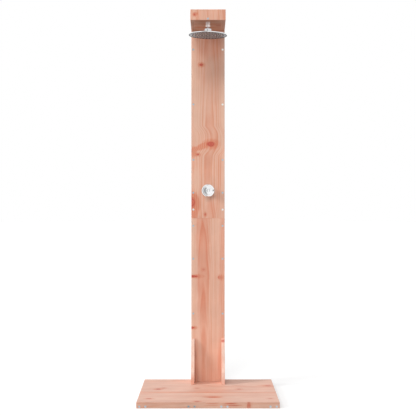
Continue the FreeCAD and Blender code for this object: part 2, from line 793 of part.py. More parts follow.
clip_half = "clip_tall / 2"
clip_metal = joined(
    "clip_metal",
    rod("clip_ring", "clip_radius", "clip_tall", z=f"-{clip_half}"),
    block(
        "clip_foot",
        ("-clip_radius * 0.8", "-pipe_setback", f"-{clip_half}"),
        ("clip_radius * 0.8", "-pipe_radius", clip_half),
    ),
)
clip_tools = joined(
    "clip_tools",
    rod("clip_bore", "pipe_radius + pipe_play", "2 * clip_tall", z="-clip_tall"),
    block("clip_gap", ("-clip_mouth / 2", "0", "-clip_tall"), ("clip_mouth / 2", "2 * clip_radius", "clip_tall")),
)
clip_pattern = cut("clip_pattern", clip_metal, clip_tools)
clip_blank = group("pipe_clips_blank", clip_pattern, [spot("0", PIPE_Y, height) for height in CLIPS])
keep(cut("pipe_clips", clip_blank, short_holes))

# ---------------------------------------------------------------- valve in the column

VALVE_TOP = "valve_height + barrel_reach"
VALVE_FOOT = "valve_height - barrel_reach"
valve_metal = joined(
    "valve_metal",
    rod("valve_barrel", "barrel_radius", "2 * barrel_reach", "0", PIPE_Y, VALVE_FOOT),
    rod("valve_neck", "neck_radius", f"{BARREL_DEPTH} + neck_reach", "0", PIPE_Y, "valve_height", FRONT),
    rod("valve_shoulder", "shoulder_radius", "shoulder_thick", "0", CHANNEL_BACK, "valve_height", BACK),
)
valve_bores = joined(
    "valve_bores",
    rod("valve_waterway", "pipe_bore", "4 * barrel_reach", "0", PIPE_Y, "valve_height - 2 * barrel_reach"),
    rod("valve_socket_top", "pipe_radius + pipe_play", "barrel_reach", "0", PIPE_Y, f"{VALVE_TOP} - socket_deep"),
    rod("valve_socket_foot", "pipe_radius + pipe_play", "barrel_reach", "0", PIPE_Y, f"{VALVE_FOOT} + socket_deep", DOWN),
    rod("valve_chamber", "cartridge_radius + thread_play", "cartridge_deep + 2 * neck_reach", "0",
        f"{COLUMN_FRONT} + cartridge_deep", "valve_height", FRONT),
    rod("valve_seat", "seat_bore", BARREL_DEPTH, "0", PIPE_Y, "valve_height", FRONT),
)
keep(cut("valve_body", valve_metal, valve_bores))


def on_valve(piece, out="0"):
    """Stands a turned piece on the valve's axis, its +Z towards the user, from the column's front face."""
    return place(piece, "0", f"{COLUMN_FRONT} - ({out})", "valve_height", facing(FRONT))


SPINDLE_HOLE = "spindle_radius + spindle_play"
CARTRIDGE_FLOOR = "cartridge_floor - cartridge_deep"
cartridge = turned(
    "valve_cartridge",
    [
        ("0", "-cartridge_deep"),
        ("cartridge_radius", "-cartridge_deep"),
        ("cartridge_radius", "neck_reach"),
        ("bonnet_radius", "neck_reach"),
        ("bonnet_radius", "neck_reach + bonnet_thick"),
        (SPINDLE_HOLE, "neck_reach + bonnet_thick"),
        (SPINDLE_HOLE, CARTRIDGE_FLOOR),
        ("0", CARTRIDGE_FLOOR),
    ],
)
spindle_foot = f"{CARTRIDGE_FLOOR} + spindle_end_gap"
handle_bite = "spindle_reach - handle_screw_bite"
spindle = turned(
    "valve_spindle",
    [
        ("0", spindle_foot),
        ("spindle_radius", spindle_foot),
        ("spindle_radius", "spindle_reach"),
        ("handle_screw_radius + thread_play", "spindle_reach"),
        ("handle_screw_radius + thread_play", f"{handle_bite} - 2"),
        ("0", f"{handle_bite} - 2"),
    ],
)
lock_nut = hexagon("valve_lock_nut", "lock_nut_flats", "lock_nut_thick", "neck_radius + thread_play")
cover_seal = turned(
    "cover_seal",
    [
        ("cover_radius - seal_wide", "0"),
        ("cover_radius - seal_thick / 2", "0"),
        ("cover_radius - seal_thick / 2", "seal_thick"),
        ("cover_radius - seal_wide", "seal_thick"),
    ],
)
COVER_HOLE = "neck_radius + cover_hole_play"
cover_plate = turned(
    "cover_plate",
    [
        ("cover_radius - cover_wall", "seal_thick"),
        ("cover_radius", "seal_thick"),
        ("cover_radius", "seal_thick + cover_rim"),
        ("cover_radius - cover_shoulder", COVER_FRONT),
        (COVER_HOLE, COVER_FRONT),
        (COVER_HOLE, f"{COVER_FRONT} - cover_wall"),
        ("cover_radius - cover_shoulder - cover_wall / 2", f"{COVER_FRONT} - cover_wall"),
        ("cover_radius - cover_wall", "seal_thick + cover_rim - cover_wall / 2"),
    ],
)
rounded(
    cover_plate,
    "cover_wall * 1.5",
    ("cover_radius", "seal_thick + cover_rim"),
    ("cover_radius - cover_shoulder", COVER_FRONT),
)
cover_ring = turned(
    "cover_ring",
    [
        ("neck_radius + thread_play", COVER_FRONT),
        ("cover_ring_radius", COVER_FRONT),
        ("cover_ring_radius", f"{COVER_FRONT} + cover_ring_thick"),
        ("neck_radius + thread_play", f"{COVER_FRONT} + cover_ring_thick"),
    ],
)
keep(*(on_valve(piece) for piece in (cartridge, spindle, lock_nut, cover_seal, cover_plate, cover_ring)))


# ---------------------------------------------------------------- handle

def crown(top, rise, radius):
    """A shallow dome that falls by rise from its top to its rim at radius: (centre's height, bend radius)."""
    bend = f"((({radius})^2 + ({rise})^2) / 2 / ({rise}))"
    return f"({top} - {bend})", bend


def on_crown(centre, bend, across):
    """The height of a dome at a distance from its axis."""
    return f"({centre} + sqrt({bend}^2 - ({across})^2))"


knob_centre, knob_bend = crown(KNOB_FRONT, "knob_crown", "knob_radius")
cap_seat = f"({KNOB_FRONT} - cap_thick)"
head_pocket = "handle_screw_head + 4 * thread_play"
shank_hole = "handle_screw_radius + thread_play"
cap_pocket = "cap_radius + thread_play"
knob_blank = turned(
    "handle_knob_blank",
    [
        ("skirt_radius", KNOB_BACK),
        ("knob_radius", KNOB_BACK),
        ("knob_radius", f"{KNOB_FRONT} - knob_crown"),
        (cap_pocket, on_crown(knob_centre, knob_bend, cap_pocket), knob_centre),
        (cap_pocket, cap_seat),
        (head_pocket, cap_seat),
        (head_pocket, SCREW_SEAT),
        (shank_hole, SCREW_SEAT),
        (shank_hole, "spindle_reach"),
        (SPINDLE_HOLE, "spindle_reach"),
        (SPINDLE_HOLE, HUB_BACK),
        ("skirt_radius", HUB_BACK),
    ],
)
rounded(knob_blank, "knob_crown * 1.5", ("knob_radius", f"{KNOB_FRONT} - knob_crown"))
on_valve(knob_blank)
LEVER_OUT = f"({KNOB_FRONT} - lever_setback)"
LEVER_Y = f"{COLUMN_FRONT} - {LEVER_OUT}"
lever_socket = rod("lever_socket", "lever_radius + thread_play", "lever_reach", "lever_root", LEVER_Y, "valve_height", RIGHT)
keep(cut("handle_knob", knob_blank, lever_socket))

lever = turned(
    "handle_lever",
    [
        ("0", "lever_root"),
        ("lever_radius", "lever_root"),
        ("lever_radius", "lever_reach"),
        ("0", "lever_reach"),
    ],
)
rounded(lever, "lever_radius * 0.6", ("lever_radius", "lever_reach"))
keep(place(lever, "0", LEVER_Y, "valve_height", facing(RIGHT)))

handle_screw = turned(
    "handle_screw",
    [
        ("0", handle_bite),
        ("handle_screw_radius", handle_bite),
        ("handle_screw_radius", SCREW_SEAT),
        ("handle_screw_head", SCREW_SEAT),
        ("handle_screw_head", f"{SCREW_SEAT} + handle_screw_head_thick"),
        ("0", f"{SCREW_SEAT} + handle_screw_head_thick"),
    ],
)
cap_edge = on_crown(knob_centre, knob_bend, "cap_radius")
handle_cap = turned(
    "handle_cap",
    [("0", cap_seat), ("cap_radius", cap_seat), ("cap_radius", cap_edge), ("0", KNOB_FRONT, knob_centre)],
)
keep(on_valve(handle_screw), on_valve(handle_cap))

# ---------------------------------------------------------------- drop through the arm

drop_metal = joined(
    "drop_metal",
    rod("drop_barrel", "drop_barrel_radius", f"{ARM_LID} - {ARM_FLOOR} - 1", "0", HEAD_Y, ARM_FLOOR),
    rod("drop_leg", "elbow_radius", "drop_leg_reach", "0", HEAD_Y, ARM_PIPE_Z, BACK),
)
drop_bores = joined(
    "drop_bores",
    rod("drop_thread", "drop_radius + thread_play", "drop_bite + board_thick", "0", HEAD_Y,
        f"{ARM_FLOOR} - board_thick"),
    rod("drop_waterway", "pipe_bore", "2 * drop_leg_reach", "0", HEAD_Y, ARM_PIPE_Z, BACK),
    rod("drop_socket", "pipe_radius + pipe_play", "drop_leg_reach", "0",
        f"{HEAD_Y} + drop_leg_reach - socket_deep", ARM_PIPE_Z, BACK),
)
keep(cut("drop_elbow", drop_metal, drop_bores))

NIPPLE_Z = f"({BALL_Z} + {NIPPLE_FOOT})"
nipple_length = f"{ARM_FLOOR} + drop_bite - {NIPPLE_Z}"
drop_nipple = turned(
    "drop_nipple",
    [("drop_bore", "0"), ("drop_radius", "0"), ("drop_radius", nipple_length), ("drop_bore", nipple_length)],
)
drop_lock = turned(
    "drop_lock_nut",
    [
        ("drop_radius + thread_play", "-drop_lock_thick"),
        ("drop_lock_radius", "-drop_lock_thick"),
        ("drop_lock_radius", "0"),
        ("drop_radius + thread_play", "0"),
    ],
)
rounded(drop_lock, "thread_play * 10", ("drop_lock_radius", "-drop_lock_thick"))
keep(place(drop_nipple, "0", HEAD_Y, NIPPLE_Z), place(drop_lock, "0", HEAD_Y, ARM_UNDER))


# ---------------------------------------------------------------- ball joint

def on_ball(piece, turn=FreeCAD.Rotation()):
    """Stands a piece on the ball's centre."""
    return place(piece, "0", HEAD_Y, BALL_Z, turn)


COLLAR_SHOULDER = f"({COLLAR_TOP} - ball_collar_bite)"
swivel_ball = turned(
    "swivel_ball",
    [
        ("ball_bore", "-sqrt(ball_radius^2 - ball_bore^2)"),
        ("ball_neck_radius", "sqrt(ball_radius^2 - ball_neck_radius^2)", "0"),
        ("ball_neck_radius", "ball_neck_rise"),
        ("ball_collar_radius", "ball_neck_rise"),
        ("ball_collar_radius", COLLAR_TOP),
        ("drop_radius + thread_play", COLLAR_TOP),
        ("drop_radius + thread_play", COLLAR_SHOULDER),
        ("ball_bore", COLLAR_SHOULDER),
    ],
)
strainer = turned(
    "inlet_washer",
    [
        ("ball_bore", COLLAR_SHOULDER),
        ("drop_radius", COLLAR_SHOULDER),
        ("drop_radius", NIPPLE_FOOT),
        ("ball_bore", NIPPLE_FOOT),
    ],
)
keep(on_ball(swivel_ball), on_ball(strainer))


def ball_ring(label, low, high):
    """A ring between ball and cup, from one angle below the ball's equator to another."""
    inner, outer = NUT_SPHERE, f"({NUT_SPHERE} + cup_ring_thick)"
    return turned(
        label,
        [
            (f"{inner} * cos({low} * 1 deg)", f"-{inner} * sin({low} * 1 deg)"),
            (f"{outer} * cos({low} * 1 deg)", f"-{outer} * sin({low} * 1 deg)"),
            (f"{outer} * cos({high} * 1 deg)", f"-{outer} * sin({high} * 1 deg)", "0"),
            (f"{inner} * cos({high} * 1 deg)", f"-{inner} * sin({high} * 1 deg)"),
        ],
    )


keep(on_ball(ball_ring("ball_seal", "seal_low", "seal_high")), on_ball(ball_ring("ball_slip_ring", "slip_low", "slip_high")))

# ---------------------------------------------------------------- shower head, hung a degree out of level

ROLL = FreeCAD.Rotation(BACK, number("shower_roll"))

ball_nut = turned(
    "ball_nut",
    [
        ("union_thread + thread_play", "-union_drop"),
        ("union_radius", "-union_drop"),
        ("union_radius", "union_rise - union_bevel"),
        ("union_radius - union_bevel", "union_rise"),
        ("union_mouth", "union_rise"),
        ("union_lip", f"sqrt({NUT_SPHERE}^2 - union_lip^2)"),
        (f"sqrt({NUT_SPHERE}^2 - union_step^2)", "-union_step", "0"),
        ("union_thread + thread_play", "-union_step"),
    ],
)
rounded(
    ball_nut,
    "union_bevel / 2",
    ("union_radius", "union_rise - union_bevel"),
    ("union_radius - union_bevel", "union_rise"),
)

RIM_TOP = "(rim_tall - shower_hang)"
dome_centre, dome_bend = crown("-dome_drop", f"(-dome_drop - {RIM_TOP})", "shower_radius")
inner_bend = f"({dome_bend} - shell_wall)"
LEDGE_INNER = f"({FACE_RADIUS} - ledge_wide)"
cup_lip = f"(-union_step - ball_gap)"
head_shell = turned(
    "head_shell",
    [
        ("throat_radius", on_crown(dome_centre, inner_bend, "throat_radius")),
        (LEDGE_INNER, on_crown(dome_centre, inner_bend, LEDGE_INNER), dome_centre),
        (LEDGE_INNER, LEDGE),
        (f"{FACE_RADIUS} + face_play", LEDGE),
        (f"{FACE_RADIUS} + face_play", "-shower_hang"),
        ("shower_radius", "-shower_hang"),
        ("shower_radius", RIM_TOP),
        ("union_thread", on_crown(dome_centre, dome_bend, "union_thread"), dome_centre),
        ("union_thread", cup_lip),
        (f"sqrt({CUP_RADIUS}^2 - {cup_lip}^2)", cup_lip),
        ("throat_radius", f"-sqrt({CUP_RADIUS}^2 - throat_radius^2)", "0"),
    ],
)
rounded(head_shell, "rim_tall * 0.3", ("shower_radius", RIM_TOP), ("shower_radius", "-shower_hang"))

face_seal = turned(
    "face_seal",
    [
        (f"{LEDGE_INNER} + face_play", FACE_TOP),
        (f"{FACE_RADIUS} - face_play", FACE_TOP),
        (f"{FACE_RADIUS} - face_play", LEDGE),
        (f"{LEDGE_INNER} + face_play", LEDGE),
    ],
)
nozzle_spots = [
    FreeCAD.Placement(V(), FreeCAD.Rotation(UP, 360 * step / (ring * round(number("nozzles_per_ring")))))
    * spot(f"{ring} * ring_pitch", "0", FACE_TOP)
    for ring in range(1, round(number("nozzle_rings")) + 1)
    for step in range(ring * round(number("nozzles_per_ring")))
]
nozzle = turned(
    "nozzle_pattern",
    [
        ("nozzle_bore", "-face_thick - nozzle_proud"),
        ("nozzle_tip_radius", "-face_thick - nozzle_proud"),
        ("nozzle_radius", "-face_thick"),
        ("nozzle_radius", "0"),
        ("nozzle_flange", "0"),
        ("nozzle_flange", "nozzle_flange_thick"),
        ("nozzle_bore", "nozzle_flange_thick"),
    ],
)
nozzle_drill = rod("nozzle_drill", "nozzle_radius + thread_play", "3 * face_thick", z="-2 * face_thick")
face_holes = group("face_holes", nozzle_drill, nozzle_spots)
face_blank = rod("face_blank", FACE_RADIUS, "face_thick", z="-shower_hang")
face_plate = cut("face_plate", face_blank, face_holes)
nozzles = group("nozzles", nozzle, nozzle_spots)
keep(*(on_ball(piece, ROLL) for piece in (ball_nut, head_shell, face_seal, face_plate, nozzles)))

# ---------------------------------------------------------------- checks and files

doc.recompute()
for thing in doc.Objects:
    if "Invalid" in thing.State or "Error" in thing.State:
        raise SystemExit(f"{thing.Label} did not build: {thing.State}")
for name, piece in nodes.items():
    if piece.Shape.isNull() or not piece.Shape.isValid() or not piece.Shape.Solids:
        raise SystemExit(f"{name} has no sound solid")
    piece.Shape.exportStep(f"parts/{name}.step")
print(len(nodes), "sub-parts,", sum(len(piece.Shape.Solids) for piece in nodes.values()), "solids")
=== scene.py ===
# %% [markdown]
# An outdoor shower post. A low deck of boards lies on the ground, a hollow column of boards stands on its back
# edge, and a boxed arm holds a round head over the deck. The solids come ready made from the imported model, so
# this lesson gives them their wood and metal, and makes again, in finer form, the pieces that are turned, cast
# or pressed.

import math

import bpy
from mathutils import Matrix, Vector


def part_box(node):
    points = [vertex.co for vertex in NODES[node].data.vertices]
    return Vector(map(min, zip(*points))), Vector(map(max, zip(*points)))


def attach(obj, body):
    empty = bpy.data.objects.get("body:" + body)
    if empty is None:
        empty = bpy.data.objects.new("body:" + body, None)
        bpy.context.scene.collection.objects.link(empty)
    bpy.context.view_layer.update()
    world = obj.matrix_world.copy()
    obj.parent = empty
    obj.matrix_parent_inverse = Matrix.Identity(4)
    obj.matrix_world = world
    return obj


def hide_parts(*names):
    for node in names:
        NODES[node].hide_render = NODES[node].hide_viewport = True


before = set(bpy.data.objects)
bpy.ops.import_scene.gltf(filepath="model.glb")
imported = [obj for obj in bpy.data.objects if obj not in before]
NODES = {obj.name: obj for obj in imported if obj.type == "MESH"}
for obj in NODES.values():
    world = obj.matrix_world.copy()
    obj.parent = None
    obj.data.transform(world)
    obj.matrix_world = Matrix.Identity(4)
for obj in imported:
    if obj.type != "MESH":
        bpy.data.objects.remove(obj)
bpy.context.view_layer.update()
MM = 0.001
WELD = 1e-6  # points closer than this, in metres, are one
print("nodes in the frame:", len(NODES))

# %% [markdown]
# The photograph looks level along +Y, from a little under five metres away and a little below the height of
# the valve. A long lens from there draws the deck's front edge and the column at the widths that the
# photograph shows.

# %% Camera
camera_data = bpy.data.cameras.new("camera")
camera_data.lens = 81.4
camera_data.sensor_width = 36
camera = bpy.data.objects.new("camera", camera_data)
camera.location = (0, -4.892, 0.9766)
camera.rotation_euler = (math.pi / 2, 0, 0)
bpy.context.scene.collection.objects.link(camera)
bpy.context.scene.camera = camera
bpy.context.scene.view_settings.view_transform = "Standard"

# %% [markdown]
# A material is a tree of nodes, and its sums are easier to read as sums. Value wraps one socket, so that plain
# Python arithmetic on it adds Math nodes. Tree adds any other kind of node, and Finish is the tree of a material.


# %% Shader arithmetic
class Value:
    """One socket in a tree of nodes, with Python's arithmetic."""

    def __init__(self, tree, socket):
        self.tree = tree
        self.socket = socket

    def math(self, operation, *others):
        return self.tree.add("ShaderNodeMath", {"operation": operation}, [self, *others])

    def __add__(self, other):
        return self.math("ADD", other)

    def __mul__(self, other):
        return self.math("MULTIPLY", other)

    def __sub__(self, other):
        return self.math("SUBTRACT", other)

    def __rsub__(self, other):
        return self.tree.add("ShaderNodeMath", {"operation": "SUBTRACT"}, [other, self])

    def __truediv__(self, other):
        return self.math("DIVIDE", other)

    def __pow__(self, other):
        return self.math("POWER", other)

    def most(self, other):
        return self.math("MAXIMUM", other)

    def least(self, other):
        return self.math("MINIMUM", other)

    def step(self, low, high, to_low=0.0, to_high=1.0):
        """A smooth step between two values."""
        settings = {"interpolation_type": "SMOOTHSTEP"}
        return self.tree.add("ShaderNodeMapRange", settings, [self, low, high, to_low, to_high])


class Tree:
    """The nodes of a material or a world."""

    def __init__(self, owner):
        owner.use_nodes = True
        self.nodes = owner.node_tree.nodes
        self.links = owner.node_tree.links

    def plug(self, socket, value):
        if isinstance(value, Value):
            self.links.new(value.socket, socket)
        else:
            socket.default_value = value

    def add(self, kind, settings, values, output=0):
        """Adds a node: its settings first, then what goes into its sockets, by place or by name."""
        node = self.nodes.new(kind)
        for name, setting in settings.items():
            if name == "stops":
                ramp = node.color_ramp
                while len(ramp.elements) < len(setting):
                    ramp.elements.new(0.5)
                for element, (position, grey) in zip(ramp.elements, setting):
                    element.position = position
                    element.color = (grey, grey, grey, 1)
            else:
                setattr(node, name, setting)
        pairs = values.items() if isinstance(values, dict) else enumerate(values)
        for key, value in pairs:
            self.plug(node.inputs[key], value)
        return Value(self, node.outputs[output])

    def split(self, vector):
        return [self.add("ShaderNodeSeparateXYZ", {}, [vector], axis) for axis in "XYZ"]

    def place(self):
        """Where a point lies in the object's own frame, as three values."""
        return self.split(self.add("ShaderNodeTexCoord", {}, {}, "Object"))

    def point(self, x, y, z):
        return self.add("ShaderNodeCombineXYZ", {}, [x, y, z])

    def noise(self, point, scale=1.0, detail=3.0, rough=0.5):
        sockets = {"Vector": point, "Scale": scale, "Detail": detail, "Roughness": rough}
        return self.add("ShaderNodeTexNoise", {}, sockets, "Fac")

    def mix(self, factor, first, second, how="MIX"):
        """A colour between two, or one blended on the other."""
        first = (*first, 1) if isinstance(first, tuple) and len(first) == 3 else first
        second = (*second, 1) if isinstance(second, tuple) and len(second) == 3 else second
        settings = {"data_type": "RGBA", "blend_type": how}
        return self.add("ShaderNodeMix", settings, {0: factor, 6: first, 7: second}, 2)

    def ramp(self, value, *stops):
        return self.add("ShaderNodeValToRGB", {"stops": stops}, [value])


class Finish(Tree):
    """A material with the principled shader."""

    def __init__(self, name, **sockets):
        self.material = bpy.data.materials.new(name)
        super().__init__(self.material)
        self.shader = self.nodes["Principled BSDF"]
        self.set(**sockets)

    def set(self, **sockets):
        """Sets the shader's sockets, with words joined by underscores."""
        for name, value in sockets.items():
            self.plug(self.shader.inputs[name.replace("_", " ").title().replace("Ior", "IOR")], value)

    def bump(self, height, distance, strength):
        """Sets the shader's normal from a height in 0 to 1, at a depth in metres."""
        sockets = {"Height": height, "Distance": distance, "Strength": strength}
        self.set(normal=self.add("ShaderNodeBump", {}, sockets))


# %% [markdown]
# Sawn softwood is the face of the whole object. On a real board the pattern is the tree's growth rings, cut
# lengthwise: nearly straight lines where the saw ran far from the heart, and tall arches where it ran close. So
# the ring pattern is solved in the board's own volume, as distance from a heart line, and the end grain comes
# out right with no extra work. Around each knot the rings part, as water parts round a stone. Redder heartwood
# lies in long soft bands.

# %% Sawn softwood
PALE = (0.79, 0.49, 0.37)
SAP = (0.77, 0.505, 0.38)
LATE = (0.69, 0.275, 0.165)
RED = (0.65, 0.185, 0.095)
BROWN = (0.42, 0.17, 0.09)
KNOT_HEART = (0.62, 0.135, 0.085)
KNOT_RING = (0.42, 0.055, 0.04)
PARTING = 0.008  # how far the rings part round a knot, in metres, at most
GRAIN_DEPTH, GRAIN_STRENGTH = 0.0004, 0.6  # metres, and a share


def softwood(
    name, along, across, heart, lean=(0.004, 0.012), pitch=0.008, seed=0.0, knots=(), bands=(), sways=(),
    tone=(1.0, 1.0, 1.0), painted_under_shade=None, contrast=1.0,
):
    """Softwood whose grain runs along one axis, in metres.

    heart: where the tree's centre passes the board, across it and through it.
    lean: how far that centre wanders for each metre along.
    knots: (along, across, half length, half width, strength).
    bands of redder wood: (along, across, half length, half width, slope, strength), or of paler wood, if below 0.
    sways, where the grain runs aside: (along, half length, how far).
    under: the tone of painted shade on the faces that look down, where there is one.
    contrast: how strongly the rings show.
    """
    wood = Finish(name, specular_ior_level=0.5)
    place = dict(zip("XYZ", wood.place()))
    length, width = place.pop(along), place.pop(across)
    depth = place.popitem()[1]

    slow = wood.noise(wood.point(length * 1.6 + seed, width * 6.0, depth * 6.0), detail=2.0)
    quick = wood.noise(wood.point(length * 9.0 + seed, width * 40.0, depth * 40.0 + seed), detail=3.0)
    side = width
    for sway_along, half_length, shift in sways:
        reach = (length - sway_along) * (1 / half_length)
        side = side - (reach * reach).step(1.0, 0.0) * shift
    inside = halo = whorl = arcs = 0.0
    for knot_along, knot_across, half_length, half_width, strength in knots:
        off_along = (length - knot_along) * (1 / half_length)
        off_across = (width - knot_across) * (1 / half_width)
        square = off_along * off_along + off_across * off_across + (quick - 0.5) * 1.2
        side = side - off_across * min(half_width, PARTING) / square.most(1.0)
        heart_share, halo_share = square.step(1.5, 0.35), square.step(7.0, 0.8) * strength
        wave = (square.most(0.0) ** 0.5 * 13.0).math("SINE")
        inside, halo = (heart_share * strength).most(inside), halo_share.most(halo)
        whorl, arcs = heart_share * wave + whorl, (halo_share * wave.step(0.0, 0.9)).most(arcs)

    off_side = side - (length * lean[0] + heart[0]) + (slow - 0.5) * 0.02
    off_depth = depth - (length * lean[1] + heart[1])
    rings = (off_side * off_side + off_depth * off_depth) ** 0.5
    rings = rings * (1 / pitch) + (slow - 0.5) * 3.0 + (quick - 0.5) * 0.35
    late = wood.ramp(rings.math("FRACT"), (0.0, 0.02), (0.3, 0.1), (0.62, 0.55), (0.85, 1.0), (1.0, 0.05))
    year = wood.noise(wood.point(rings.math("FLOOR") * 0.37 + seed, length * 0.7, 0.0), detail=1.0)

    fibre = wood.noise(wood.point(length * 22.0 + seed, width * 900.0, depth * 900.0), detail=2.0, rough=0.6)
    patch = wood.noise(wood.point(length * 3.0 + seed, width * 14.0 + seed, depth * 14.0))
    streak = wood.noise(wood.point(length * 0.9 + seed, side * 62.0, depth * 62.0 + seed), rough=0.6)
    redness = patch.step(0.55, 0.8) * 0.35 + halo * 0.7 + streak.step(0.6, 0.8) * 0.2
    for band_along, band_across, half_length, half_width, slope, strength in bands:
        off_across = width - band_across + (slow - 0.5) * half_width
        off_along = (length - band_along - off_across * slope) * (1 / half_length)
        off_across = off_across * (1 / half_width) + (quick - 0.5) * 0.8
        redness = redness + (off_along * off_along + off_across * off_across).step(1.3, 0.1) * strength
    paleness = (redness * -1.0).most(0.0)
    redness = redness.most(0.0).least(0.9) * (late * 0.45 + 0.55)
    calm = wood.noise(wood.point(length * 1.1, width * 16.0 + seed, depth * 16.0), detail=1.0)
    calm = calm.step(0.35, 0.6, 0.25, 1.0)
    darkness = late * year.step(0.25, 0.7, 0.2, 0.85) * calm * contrast + streak.step(0.38, 0.72) * 0.4 + arcs * 0.6
    darkness = darkness * (1.0 - paleness)
    colour = wood.mix(darkness.least(1.0), wood.mix(paleness.least(1.0), PALE, SAP), LATE)
    colour = wood.mix(redness, colour, RED)
    colour = wood.mix(fibre.step(0.35, 0.7) * 0.1, colour, BROWN)
    colour = wood.mix(inside, colour, wood.mix(whorl * 0.5 + 0.5, KNOT_HEART, KNOT_RING))
    weather = wood.noise(wood.point(length * 9.0, width * 9.0 + seed, depth * 9.0))
    shade = weather.step(0.3, 0.75, 0.95, 1.04)
    shade = wood.mix(1.0, tone, wood.point(shade, shade, shade), "MULTIPLY")
    # Faces that look down are painted darker here: a painted shade.
    if painted_under_shade:
        up = wood.split(wood.add("ShaderNodeNewGeometry", {}, {}, "Normal"))[2]
        shade = wood.mix(up.step(-0.4, -0.8), shade, wood.mix(1.0, shade, painted_under_shade, "MULTIPLY"))
    wood.set(base_color=wood.mix(1.0, colour, shade, "MULTIPLY"), roughness=late * -0.1 + (fibre * 0.2 + 0.5))
    wood.bump(late * -0.35 + fibre * 0.6 + inside * 0.5, GRAIN_DEPTH, GRAIN_STRENGTH)
    return wood.material


def dress(material, *names):
    """Gives CAD nodes a material."""
    for name in names:
        NODES[name].data.materials.clear()
        NODES[name].data.materials.append(material)


# %% [markdown]
# Each board is its own cut of timber, so each has its own heart line, lean and knots. The knots and the red bands
# on the front boards, the deck and the arm lie where the photograph shows them, save one band just under the head,
# which is painted shade. The other boards get a few of their own.

# %% Boards of the column and the gussets
dress(
    softwood(
        "upper_front_wood", "Z", "X", heart=(0.0, 0.292), pitch=0.0085, seed=3.1,
        knots=[
            (1.760, -0.038, 0.007, 0.010, 1.0),
            (1.326, 0.016, 0.014, 0.023, 0.9),
            (1.269, -0.055, 0.006, 0.008, 0.8),
            (0.941, -0.015, 0.007, 0.005, 0.7),
            (1.006, -0.086, 0.028, 0.016, 0.75),
        ],
        bands=[
            (1.311, -0.045, 0.019, 0.055, 0.33, 1.2),
            (1.283, -0.083, 0.035, 0.022, 0.0, 0.9),
            (1.410, 0.000, 0.090, 0.022, 0.0, 0.3),
            (1.190, -0.002, 0.110, 0.020, 0.0, 0.5),
            (0.985, -0.076, 0.080, 0.036, 0.0, 1.3),
            (0.960, 0.020, 0.070, 0.035, 0.0, 0.5),
            # This band is painted shade, not redder wood: it darkens the column just under the arm and the head.
            (1.860, 0.015, 0.090, 0.060, 0.0, 0.5),
            (1.560, -0.066, 0.330, 0.034, 0.0, -0.5),
            (1.480, 0.074, 0.250, 0.022, 0.0, -0.4),
            (1.130, -0.066, 0.080, 0.026, 0.0, -0.6),
        ],
        sways=[(1.345, 0.085, 0.032), (1.02, 0.08, -0.006)],
    ),
    "column_front_upper",
)
dress(
    softwood(
        "lower_front_wood", "Z", "X", heart=(-0.022, 0.285), lean=(-0.01, 0.02), pitch=0.0075, seed=8.7,
        knots=[
            (0.640, -0.024, 0.006, 0.007, 0.4),
            (0.603, -0.080, 0.0055, 0.027, 1.0),
            (0.322, -0.088, 0.0055, 0.015, 1.0),
            (0.597, 0.066, 0.009, 0.012, 0.35),
        ],
        bands=[
            (0.603, -0.078, 0.009, 0.034, 0.0, 1.2),
            (0.322, -0.088, 0.008, 0.020, 0.0, 1.0),
            (0.597, 0.066, 0.012, 0.014, 0.0, 1.8),
            (0.140, 0.075, 0.130, 0.025, 0.0, 0.5),
            (0.700, -0.026, 0.46, 0.040, 0.0, 0.75),
            (0.230, -0.022, 0.10, 0.016, 0.0, 0.6),
            (0.600, 0.079, 0.55, 0.022, 0.0, 0.5),
            (0.600, -0.084, 0.70, 0.018, 0.0, -0.4),
            (0.600, 0.034, 0.70, 0.026, 0.0, -0.1),
        ],
        contrast=0.6,
    ),
    "column_front_lower",
)
for count, (name, through) in enumerate((("left", -0.14), ("right", 0.13))):
    side_knots = [(0.62 + 0.9 * count, 0.288, 0.008, 0.006, 0.8), (1.30 - 0.5 * count, 0.270, 0.006, 0.005, 0.7)]
    dress(
        softwood(
            f"column_side_{name}_wood", "Z", "Y", (0.30, through), (0.006, 0.01), 0.006, 12.0 + count, side_knots,
        ),
        f"column_side_{name}",
    )
    gusset_knots = [(0.252, 0.236, 0.006, 0.008, 0.8)] if count else []
    # The gussets' wood is made much paler and whiter than the rest: partly paler sawn wood, partly painted light for
    # their bright sloped tops. Their noses, at the front feet, are made redder and darker.
    nose = [(0.035, 0.125, 0.050, 0.050, 0.0, 0.9)]
    dress(
        softwood(
            f"gusset_{name}_wood", "Z", "Y", (0.19, through), (0.05, 0.04), 0.006, 14.0 + count, gusset_knots, nose,
            tone=(1.06, 1.25, 1.39),
        ),
        f"gusset_{name}",
    )
for count, name in enumerate(("splice_batten", "lower_batten", "upper_batten")):
    height = sum(corner.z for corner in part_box(name)) / 2
    batten_knots = [(0.03 - 0.04 * count, height - 0.01, 0.008, 0.005, 0.7)]
    dress(
        softwood(f"{name}_wood", "X", "Z", (height + 0.02, 0.25), (0.02, 0.03), 0.006, 20.0 + count, batten_knots),
        name,
    )
print("column boards dressed")
